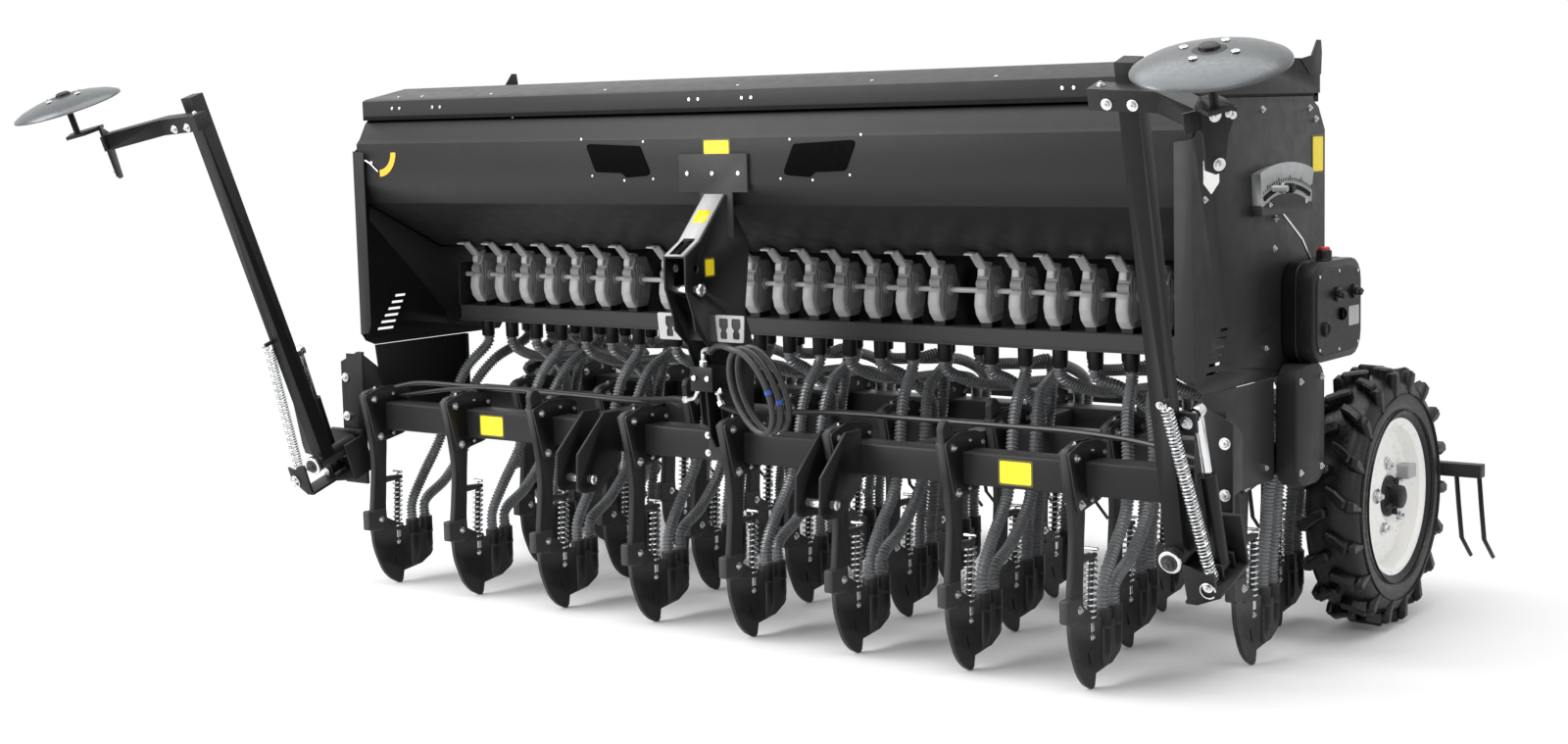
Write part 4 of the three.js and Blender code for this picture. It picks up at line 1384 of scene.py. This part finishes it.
@dataclass(frozen=True)
class Markers:
    """Springs, discs, pins and bolts of the two folding markers, drawn for the right side.

    Places are n outwards, a along the hinge to the rear and u up the folded arm, in millimetres from the
    hinge.
    """

    hinge: tuple[float, float, float] = (1550.0, -160.0, 440.0)
    tilt: float = 18.4
    lean: float = 3.7
    head_turn: float = -37.7
    head: tuple[float, float] = (265.0, -170.0)
    spring_foot: tuple[float, float, float] = (98.0, -40.0, -52.0)
    spring_top: tuple[float, float, float] = (50.0, -40.0, 428.0)

    def _tilted(self) -> Matrix:
        """Returns the hinge frame in the part's frame."""
        return Matrix.Translation(spot(*self.hinge)) @ Matrix.Rotation(math.radians(self.tilt), 4, "X")

    def _leaned(self) -> Matrix:
        """Returns the folded arm's frame in the part's frame."""
        return self._tilted() @ Matrix.Rotation(math.radians(self.lean), 4, "Y")

    def _headed(self) -> Matrix:
        """Returns the end plate's frame: across it, along it and up."""
        shift = Matrix.Translation((self.head[0] * MM, self.head[1] * MM, 0))
        return self._leaned() @ shift @ Matrix.Rotation(math.radians(self.head_turn), 4, "Z")

    @staticmethod
    def _at(base: Matrix, place: Point) -> Vector:
        """Returns a place of the base frame, in the part's frame."""
        return base @ (Vector(place) * MM)

    @staticmethod
    def _facing(base: Matrix, way: Point) -> Vector:
        """Returns a direction of the base frame, in the part's frame."""
        return (base.to_3x3() @ Vector(way)).normalized()

    def build(self) -> None:
        """Builds both markers' fittings."""
        jobs = (("marker_head_bolts", self._head_bolts(), "marker", "black_paint"),
                ("marker_pivot", self._pivot(), "frame", "zinc_steel"))
        for name, parts, body, slot in jobs:
            twins = Bench.mirrored(parts)
            for side, group in (("right", parts), ("left", twins)):
                Fitter.fit(f"{name}_{side}", group, body if body == "frame" else f"{body}_{side}", slot)
        disc = self._disc()
        for side, group in (("right", disc), ("left", Bench.mirrored(disc))):
            Fitter.fit(f"marker_blade_{side}", group, f"marker_disc_{side}", "disc_steel",
                       (f"marker_disc_{side}",))
        spring = self._spring()
        for side, group in (("right", [spring]), ("left", Bench.mirrored([spring]))):
            piece = Bench.joined(f"marker_coil_{side}", group)
            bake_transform(piece)
            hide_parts(f"marker_spring_{side}")

    def _spring(self) -> bpy.types.Object:
        """Makes the long return spring with a straight stub of wire at each end."""
        foot = self._at(self._tilted(), self.spring_foot)
        top = self._at(self._tilted(), self.spring_top)
        along = (top - foot).normalized()
        coil = Hardware.coil(foot + along * 0.016, top - along * 0.016, 14.5, 2.3, 50, 10, 1)
        low = Bench.pipe([foot + along * 0.018, foot - along * 0.008], 2.6, 1)
        high = Bench.pipe([top - along * 0.018, top + along * 0.006], 2.6, 1)
        return Fitter.dress(Bench.joined("marker_coil", [coil, low, high]), Look.SPRING)

    def _pivot(self) -> list[bpy.types.Object]:
        """Makes the hinge washer, its bolt, the ring pin and the bolts of the bracket."""
        base = self._tilted()
        front = self._facing(base, (0, -1, 0))
        parts = [Fitter.dress(Bench.lathe([(0, 0), (30, 0), (30, 5), (27, 7), (16, 7), (0, 7)],
                                          self._at(base, (0, -52, 0)), front, 28), Look.ZINC)]
        hexagon = Hardware.bolt(self._at(base, (0, -59, 0)), front, 26)
        parts.append(Fitter.dress(hexagon, Look.CAST))
        ring = [self._at(base, (98 + 20 * math.cos(t / 12 * math.pi), -70, -60
                                + 20 * math.sin(t / 12 * math.pi))) for t in range(22)]
        parts.append(Fitter.dress(Bench.pipe(ring, 2, 1), Look.ZINC))
        for place in ((98, -66, -52), (62, 39, -74)):
            parts.append(Hardware.bolt(self._at(base, place), front, 16))
        for y, z in ((-10, 690), (-10, 560), (-10, 470)):
            parts.append(Hardware.bolt(spot(1600, y, z), Vector((0, -1, 0)), 18))
        return parts

    def _head_bolts(self) -> list[bpy.types.Object]:
        """Makes the bolts of the cross arm, the end plate and the arm's lug."""
        arm = self._leaned()
        head = self._headed()
        up = self._facing(arm, (0, 0, 1))
        out = self._facing(head, (1, 0, 0))
        front = self._facing(arm, (0, -1, 0))
        parts = [Hardware.bolt(self._at(arm, (-50, -49, 1212)), up, 12)]
        parts += [Hardware.bolt(self._at(head, (4, w, u)), out, 17) for w, u in ((12, 1196), (12, 1086))]
        parts += [Hardware.bolt(self._at(head, (4, w, u)), out, 10) for w, u in ((44, 1192), (54, 1186))]
        parts += [Hardware.bolt(self._at(arm, (n, -75, u)), front, 16) for n, u in ((-26, 1178), (38, 1178))]
        parts.append(Hardware.bolt(self._at(arm, (42.5, 20, 349.5)), front, 20))
        parts.append(Hardware.bolt(self._at(arm, (20, -60, 430)), front, 12))
        cap = Bench.plate([(-25, -25), (25, -25), (25, 25), (-25, 25)], 0, 3, Plane.Z, 1)
        cap.data.transform(arm @ Matrix.Translation((0, ORIGIN_Y, 1255.5 * MM)))  # onto the arm's open end
        parts.append(Fitter.dress(cap, Look.BLACK_PLASTIC))
        return parts

    def _disc(self) -> list[bpy.types.Object]:
        """Makes the dished disc, its hub and its four bolts."""
        head = self._headed()
        hub = self._at(head, (69.4, -19.6, 1346))
        up = self._facing(head, (0, 0, 1))
        rise = [(10, -14), (60, -13), (100, -6), (140, 5), (165, 17), (168, 20), (168, 17), (165, 13),
                (140, 1), (100, -10), (60, -17), (10, -18)]
        blade = Bench.lathe([(r, -h) for r, h in reversed(rise)], hub, up, 64)
        core = Bench.lathe([(0, 30), (16, 30), (22, 26), (24, 20), (36, 18), (46, 14), (46, -34), (0, -34)],
                           hub, up, 28)
        parts = [Fitter.dress(blade, Look.DISC), Fitter.dress(core, Look.PAINT)]
        for i in range(4):
            turn = math.radians(90 * i + 30)
            place = hub + (up * 16 + self._facing(head, (math.cos(turn), math.sin(turn), 0)) * 62) * MM
            parts.append(Hardware.rivet(place, up, 20))
        return parts


# ---- hitch ------------------------------------------------------------------------------------------


@dataclass(frozen=True)
class Hitch:
    """Pins, grey plates and bolts of the headstock tower and the lower link brackets."""

    top_pin: tuple[float, float] = (-159.0, 1041.0)
    low_pin: tuple[float, float] = (-147.0, 462.0)
    link_x: tuple[float, float] = (403.0, 485.0)

    def build(self) -> None:
        """Builds the fittings."""
        grey = self._holders()
        Fitter.fit("hose_holder_plates", grey, "frame", "black_paint")
        pins = self._pin(HITCH_X - 50, HITCH_X + 56, *self.top_pin, 12.5, 19)
        for side in (1, -1):
            inner, outer = self.link_x
            low, high = sorted((HITCH_X + side * inner, HITCH_X + side * outer))
            pins += self._pin(low - 16, high + 16, *self.low_pin, 13, 15)
        facing = Vector((0, -1, 0))
        for x in (-97, -4, 91):
            pins.append(Hardware.rivet(spot(x, -8, 1364), facing, 14))
        for x in (-44, 40):
            for z in (548, 600):
                pins.append(Hardware.bolt(spot(x, -14, z), facing, 12))
        Fitter.fit("hitch_pins", pins, "frame", "zinc_steel")

    def _pin(self, low: float, high: float, y: float, z: float, radius: float, head: float
             ) -> list[bpy.types.Object]:
        """Makes a hitch pin with its head on the right and its ring pin on the left."""
        parts = [Bench.rod((low, y, z), (high, y, z), radius, 24, 2),
                 Bench.lathe([(0, 0), (head, 0), (head, 5), (head - 4, 9), (head - 8, 9), (head - 9, 6), (0,
                                                                                                          6)],
                             spot(high, y, z), Vector((1, 0, 0)), 28)]
        ring = [spot(low + 2, y - 12 + 17 * math.cos(t / 10 * math.pi),
                     z + 17 * math.sin(t / 10 * math.pi) - 6) for t in range(19)]
        parts.append(Bench.pipe(ring, 2, 1))
        return [Fitter.dress(part, Look.ZINC) for part in parts]

    @staticmethod
    def _holders() -> list[bpy.types.Object]:
        """Makes the grey slope of the tower and the two plates that hold hose ends."""
        slope = Bench.plate([(-203, 1140), (-136, 1178), (-15, 1305), (-13, 1303), (-134, 1175),
                             (-201, 1137)], HITCH_X - 36, HITCH_X + 33, Plane.X, 0)
        parts = [slope]
        # A black plate over the oval cut-out: painted shade where the opening is dark.
        cutout_shade = Bench.plate([(-198, 1141), (-150, 1169), (-127, 1184), (-127, 1186), (-150, 1172),
                              (-198, 1144)], HITCH_X - 22, HITCH_X + 19, Plane.X, 0)
        sticker = Bench.plate([(-88, 1225.5), (-57, 1258), (-58, 1260.5), (-89, 1228)], HITCH_X - 26,
                              HITCH_X + 23, Plane.X, 0)
        for low, high, slots in ((-145, -50, (-98,)), (70, 175, (100, 145))):
            holes = [filleted([(x - 16, 957), (x - 16, 932), (x - 7, 923), (x - 12, 915), (x - 12, 898),
                               (x + 12, 898),
                               (x + 12, 915), (x + 7, 923), (x + 16, 932), (x + 16, 957)], 5,
                               2) for x in slots]
            edge = filleted([(low, 966), (low + 8, 889), (high - 4, 889), (high, 966)], 6)
            parts.append(Bench.plate(edge, -107, -104.5, Plane.Y, 0.5, holes=holes))
        return [Fitter.dress(part, Look.GREY_PLATE) for part in parts] + [
            Fitter.dress(cutout_shade, Look.GLASS), Fitter.dress(sticker, Look.LABEL)]


# ---- hopper front -----------------------------------------------------------------------------------


@dataclass(frozen=True)
class BinFront:
    """Seal, sight windows, gauge, hinge bolts and blank labels."""

    face: float = 2.0
    window: tuple[tuple[float, float], ...] = (
        (283, 1446), (499, 1455), (460, 1369), (357, 1366), (338, 1352), (242, 1359))
    hinges: tuple[float, ...] = (-1354, -1168, -104, 91, 1140)

    def build(self) -> None:
        """Builds the trim."""
        seal = [Bench.block((-1508, 36, 1541), (1508, 44, 1553), 1),
                Bench.block((-1508, 744, 1526), (1508, 772, 1553), 1)]
        for side in (1, -1):
            low, high = sorted((side * 1508, side * 1501))
            seal.append(Bench.block((low, 40, 1541), (high, 772, 1553), 1))
        Fitter.fit("lid_seal", seal, "frame", "black_paint", look=Look.SHADE)
        Fitter.fit("sight_windows", self._windows(), "frame", "black_paint")
        Fitter.fit("hopper_gauge", self._gauge(), "frame", "black_paint")
        front = Vector((0, -1, 0))
        hinge = [Hardware.rivet(spot(x + dx, 40, 1578), front, 11) for x in self.hinges for dx in (-17, 17)]
        hinge += [Hardware.rivet(spot(x, 80, 1614.2), Vector((0, -0.19, 1)), 11)
                  for x in (-1380, -1270, -960, -480, 30, 500, 900, 1300)]
        Fitter.fit("lid_hinge_bolts", hinge, "lid", "black_paint")
        Fitter.fit("blank_labels", self._labels(), "frame", "black_paint")

    def _windows(self) -> list[bpy.types.Object]:
        """Makes the two black windows and the small bolts round them."""
        parts = []
        for sign in (-1, 1):
            outline = [(sign * x, z) for x, z in self.window]
            glass = Bench.plate(filleted(outline, 12, 2), self.face - 3.5, self.face, Plane.Y, 1.0)
            parts.append(Fitter.dress(glass, Look.GLASS))
            for x, z in ((270, 1458), (514, 1468), (235, 1348), (347, 1344), (474, 1358)):
                parts.append(Hardware.rivet(spot(sign * x, self.face, z), Vector((0, -1, 0)), 8))
        return parts

    def _gauge(self) -> list[bpy.types.Object]:
        """Makes the level gauge on the left, with its arc and pointer."""
        band = [*arc((-1402, 1436), 78, -88, 0, 8), *arc((-1402, 1436), 56, 0, -88, 8)]
        dial = Fitter.dress(Bench.plate(band, self.face - 2, self.face, Plane.Y, 0), Look.GAUGE)
        pointer = Bench.pipe([spot(-1474, -3, 1417), spot(-1440, -5, 1402), spot(-1404, -3, 1374)], 3, 1)
        return [dial, Fitter.dress(pointer, Look.ZINC),
                Hardware.rivet(spot(-1440, self.face, 1402), Vector((0, -1, 0)), 14)]

    def _label(self, low: Outline, plane: Plane, face: float, out: float) -> list[bpy.types.Object]:
        """Makes one blank label.

        Args:
            low: its lower left and upper right corners in the plane.
            plane: the plane it lies in.
            face: the surface under it.
            out: 1 or -1, the way it looks.

        Returns:
            Its dark edge and its film.
        """
        (u0, v0), (u1, v1) = low
        layers = []
        for inset, depth, look in ((0, 0.8, Look.LABEL_EDGE), (5, 1.4, Look.LABEL)):
            outline = filleted([(u0 + inset, v0 + inset), (u1 - inset, v0 + inset), (u1 - inset, v1 - inset),
                                (u0 + inset, v1 - inset)], 5, 2)
            near, far = sorted((face - out, face + out * depth))
            layers.append(Fitter.dress(Bench.plate(outline, near, far, plane, 0), look))
        return layers

    def _labels(self) -> list[bpy.types.Object]:
        """Makes the blank yellow labels and the green level cap."""
        parts = self._label([(-44, 1403), (56, 1463)], Plane.Y, self.face, -1)
        for corners in ([(-990, 532), (-884, 602)], [(938, 532), (1044, 602)]):
            parts += self._label(corners, Plane.Y, 0, -1)
        parts += self._label([(716, 1332), (792, 1436)], Plane.X, PANEL_X, 1)
        parts += self._label([(-118, 1072), (-70, 1128)], Plane.X, 45, 1)
        shield = Bench.plate(filleted([(52, 1388), (52, 1330), (96, 1302), (140, 1330), (140, 1388)], 4),
                             PANEL_X - 0.5, PANEL_X + 1, Plane.X, 0)
        parts.append(Fitter.dress(shield, Look.RIM))
        cap = Bench.rod((147, 70, BAR_TOP), (147, 70, BAR_TOP + 7), 17, 24, 3)
        parts.append(Fitter.dress(cap, Look.LIME))
        return parts


# ---- drive and rate scale ---------------------------------------------------------------------------


@dataclass(frozen=True)
class Drive:
    """Trim of the gearbox, the chain guard and the rate scale on the right panel."""

    face: float = 1605.0
    scale_y: float = 494.0

    def build(self) -> None:
        """Builds the trim."""
        Fitter.fit("gearbox_trim", self._gearbox(), "frame", "black_plastic")
        Fitter.fit("rate_lever", self._scale(), "frame", "plated_scale")
        Fitter.fit("panel_bolts", self._panel_bolts(), "frame", "black_paint")

    def _gearbox(self) -> list[bpy.types.Object]:
        """Makes the raised cover, knobs, sight glass, cap and screws of the gearbox."""
        x = self.face
        out = Vector((1, 0, 0))
        cover = Bench.plate(filleted([(530, 848), (824, 848), (824, 1080), (530, 1080)], 58, 6), x - 4, x + 4,
                            Plane.X, 3)
        seam = Bench.plate(filleted([(510.5, 828.5), (843.5, 828.5), (843.5, 1101.5), (510.5, 1101.5)], 66,
                                    6), PANEL_X + 38, PANEL_X + 43, Plane.X, 1.5)
        parts = [Fitter.dress(cover, Look.BLACK_PLASTIC), Fitter.dress(seam, Look.BLACK_PLASTIC)]
        for y, z in ((662, 1008), (777, 1007)):
            knob = Bench.lathe([(0, 24), (9, 24), (11, 20), (11, 8), (20, 6), (20, 0), (0, 0)],
                               spot(x + 4, y, z), out, 20)
            wing = Bench.block((x + 12, y - 26, z - 4), (x + 24, y + 26, z + 4), 2)
            parts += [Fitter.dress(knob, Look.BLACK_PLASTIC), Fitter.dress(wing, Look.BLACK_PLASTIC)]
        for y, z, radius, look in ((696, 952, 17, Look.GLASS), (584, 919, 19, Look.BLACK_PLASTIC)):
            ring = Bench.lathe([(0, 5), (radius - 5, 5), (radius - 3, 9), (radius, 8), (radius + 1, 0),
                                (0, 0)], spot(x + 4, y, z), out, 24)
            parts.append(Fitter.dress(ring, look))
        blank = Bench.plate(filleted([(742, 915), (812, 915), (812, 968), (742, 968)], 4), x + 3, x + 5,
                            Plane.X, 0)
        parts.append(Fitter.dress(blank, Look.GREY_PLATE))
        cap = Bench.rod((x - 30, 655, 1124), (x - 30, 655, 1136), 16, 20, 3)
        parts.append(Fitter.dress(cap, Look.RED))
        for y, z in ((548, 866), (676, 858), (806, 866), (806, 1062), (676, 1070), (548, 1062)):
            parts.append(Hardware.rivet(spot(x + 4, y, z), out, 9))
        return parts

    def _scale(self) -> list[bpy.types.Object]:
        """Makes the curved slot, the marks, the handle and the rod of the rate scale."""
        x = PANEL_X + 28
        out = Vector((1, 0, 0))
        y0 = self.scale_y
        # The curved slot is a thin black plate: painted shade in the slot's opening.
        slot = [*arc((y0, 920), 392, 68, 112, 12), *arc((y0, 920), 380, 112, 68, 12)]
        parts = [Fitter.dress(Bench.plate(slot, x - 1, x + 1.2, Plane.X, 0), Look.GLASS)]
        lower = Bench.plate(filleted([(336, 1234), (654, 1234), (658, 1262), *arc((y0, 920), 368, 66, 114,
                                                                                  10), (330, 1262)], 4, 1),
                            PANEL_X - 0.5, x + 0.8, Plane.X, 1)
        parts.append(Fitter.dress(lower, Look.PAINT))
        for i in range(23):
            angle = math.radians(68 + 2 * i)
            near, far = (400, 414 if i % 5 == 0 else 408)
            points = [spot(x + 0.8, y0 + r * math.cos(angle), 920 + r * math.sin(angle)) for r in (near, far)]
            parts.append(Fitter.dress(Bench.pipe(points, 1.1, 0), Look.GLASS))
        knob = Bench.rod((x + 2, y0 - 60, 1304), (x + 46, y0 - 60, 1304), 13, 24, 3)
        ring = Bench.rod((x + 12, y0 - 60, 1304), (x + 20, y0 - 60, 1304), 14.5, 24, 1)
        parts += [Fitter.dress(knob, Look.BLACK_PLASTIC), Fitter.dress(ring, Look.ZINC)]
        link = Bench.pipe([spot(x - 12, y0 - 30, 1250), spot(x - 6, 600, 1160), spot(x + 4, 640, 1095)], 4, 1)
        parts.append(Fitter.dress(link, Look.ZINC))
        for y, z in ((380, 1262), (608, 1262)):
            parts.append(Hardware.bolt(spot(x - 2.5, y, z), out, 12))
        return parts

    @staticmethod
    def _panel_bolts() -> list[bpy.types.Object]:
        """Makes the bolts of both side panels and of the chain guard."""
        parts = []
        places = ((472, 1142), (481, 1221), (60, 1410), (60, 1290), (420, 880), (600, 880), (740, 1480),
                  (120, 700), (420, 560), (100, 1500), (400, 1510), (700, 1510))
        for side in (1, -1):
            for y, z in places:
                parts.append(Hardware.bolt(spot(side * PANEL_X, y, z), Vector((side, 0, 0)), 11))
        for y, z in ((500, 540), (636, 540), (500, 786), (636, 786)):
            parts.append(Hardware.bolt(spot(PANEL_X + 62, y, z), Vector((1, 0, 0)), 11))
        return parts


# ---- hydraulics -------------------------------------------------------------------------------------


@dataclass(frozen=True)
class Hydraulics:
    """The free coil of hose, the fittings of the valve block and the hoses laid along the toolbar."""

    coil_radius: float = 9.0
    turns: float = 2.5
    steps: int = 24

    def build(self) -> None:
        """Builds the hoses."""
        self._coil()
        Fitter.fit("valve_fittings", self._fittings(), "frame", "zinc_steel")
        Fitter.fit("toolbar_hoses", self._laid(), "frame", "rubber_hose")

    def _coil(self) -> None:
        """Makes the cord: a lead from the block, then two and a half turns and a bare connector."""
        lead = [(84, -150, 868), (120, -168, 884), (168, -196, 890)]
        path = [spot(*p) for p in lead]
        for i in range(int(self.turns * self.steps) + 1):
            t = 2 * math.pi * i / self.steps
            path.append(spot(258 + 70 * math.sin(t) - 42 * math.cos(t), -215 + 38.4 * i / self.steps,
                             768 + 116 * math.cos(t)))
        hose = Fitter.dress(Bench.pipe(path, self.coil_radius, 4), Look.RUBBER)
        end = path[-1]
        away = (path[-1] - path[-2]).normalized()
        connector = Bench.joined("hose_connector", [
            Bench.lathe([(0, -4), (11, -4), (12, 0), (12, 16), (9, 18), (8, 26), (11, 28), (11, 40), (7, 42),
                         (7, 50),
                         (0, 50)], end, away, 20)])
        Fitter.dress(connector, Look.ZINC)
        bands = []
        for index in (9, 34):
            bands.append(Bench.lathe([(9, -6), (10.6, -6), (10.6, 6), (9, 6)], path[index],
                                     (path[index + 1] - path[index]).normalized(), 16))
        ties = Bench.joined("hose_ties", [Fitter.dress(band, Look.BLUE) for band in bands])
        for piece in (connector, ties):
            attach(piece, "frame")
        hose = Bench.joined("free_hose", [hose])
        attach(hose, "frame")
        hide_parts("hose_coil")

    @staticmethod
    def _fittings() -> list[bpy.types.Object]:
        """Makes the bent steel pipes, nuts and ferrules on the block."""
        parts = []
        bends = (([(42, -130, 820), (42, -130, 856), (50, -136, 868), (84, -150, 868)], 7),
                 ([(24, -130, 760), (6, -130, 728), (-12, -126, 722), (-40, -120, 718)], 6),
                 ([(92, -130, 756), (104, -140, 732), (118, -146, 712)], 6),
                 ([(20, -120, 806), (2, -120, 806), (-8, -118, 786)], 6))
        for points, radius in bends:
            parts.append(Bench.pipe(smooth_path([spot(*p) for p in points], 5), radius, 2))
            for a, b in ((points[0], points[1]), (points[-1], points[-2])):
                way = (spot(*b) - spot(*a)).normalized()
                parts.append(Bench.lathe([(0, 0), (radius + 5, 0), (radius + 5, 14), (radius + 2, 17), (0,
                                                                                                        17)],
                                         spot(*a), way, 6))
        for x in (36, 84):
            parts.append(Bench.rod((x, -172, 790), (x, -165, 790), 9, 6, 1))
        return [Fitter.dress(part, Look.ZINC) for part in parts]

    @staticmethod
    def _laid() -> list[bpy.types.Object]:
        """Makes the three hoses that lie along the toolbar, out to the markers' rams."""
        routes = ([(-1500, 30, 640), (-1340, 62, 676), (-1150, 84, 676), (-900, 96, 676), (-640, 84, 676),
                   (-380, 50, 680), (-200, -40, 700), (-90, -100, 716), (-40, -120, 718)],
                  [(-1420, 60, 630), (-1100, 66, 672), (-700, 70, 674), (-330, 30, 676), (-150, -60, 700),
                   (-60, -118, 700)], [(118, -146, 712), (150, -100, 690), (200, 20, 678), (330, 92, 676),
                                       (620, 96, 676), (900, 92, 676), (1150, 76, 676), (1380, 40, 664),
                                       (1500, 30, 640)],)
        parts = []
        for index, route in enumerate(routes):
            hose = Bench.pipe(smooth_path([spot(*p) for p in route], 6), 8 - index % 2, 2)
            parts.append(Fitter.dress(hose, Look.RUBBER))
        return parts


ASSEMBLIES: tuple[type, ...] = (Hydraulics, Coulters, RibbedHoses, Skins, Meters, Wheels, Markers, Hitch,
                                BinFront, Drive)


# ---- the whole machine ------------------------------------------------------------------------------


SLOT_LOOKS = {
    "black_paint": Look.PAINT, "grey_plastic": Look.METER, "ribbed_hose": Look.RIBBED,
    "black_plastic": Look.BLACK_PLASTIC, "plated_scale": Look.SCALE, "zinc_steel": Look.ZINC,
    "rubber_hose": Look.RUBBER, "tyre": Look.TYRE, "white_rim": Look.RIM, "disc_steel": Look.DISC,
    "chrome_rod": Look.CHROME,
}


def dress_nodes() -> None:
    """Gives every CAD node the finish of its slot in the record."""
    for part in frame["record"]["subparts"]:
        node = frame["nodes"][part["node"]]
        Fitter.dress(node, SLOT_LOOKS[part["material_slot"]])


def main() -> None:
    """Builds the studio, dresses the CAD nodes and builds every assembly in order."""
    logging.basicConfig(level=logging.INFO, format="%(name)s: %(message)s")
    Studio().build()
    dress_nodes()
    for assembly in ASSEMBLIES:
        assembly().build()


if __name__ == "__main__":
    main()
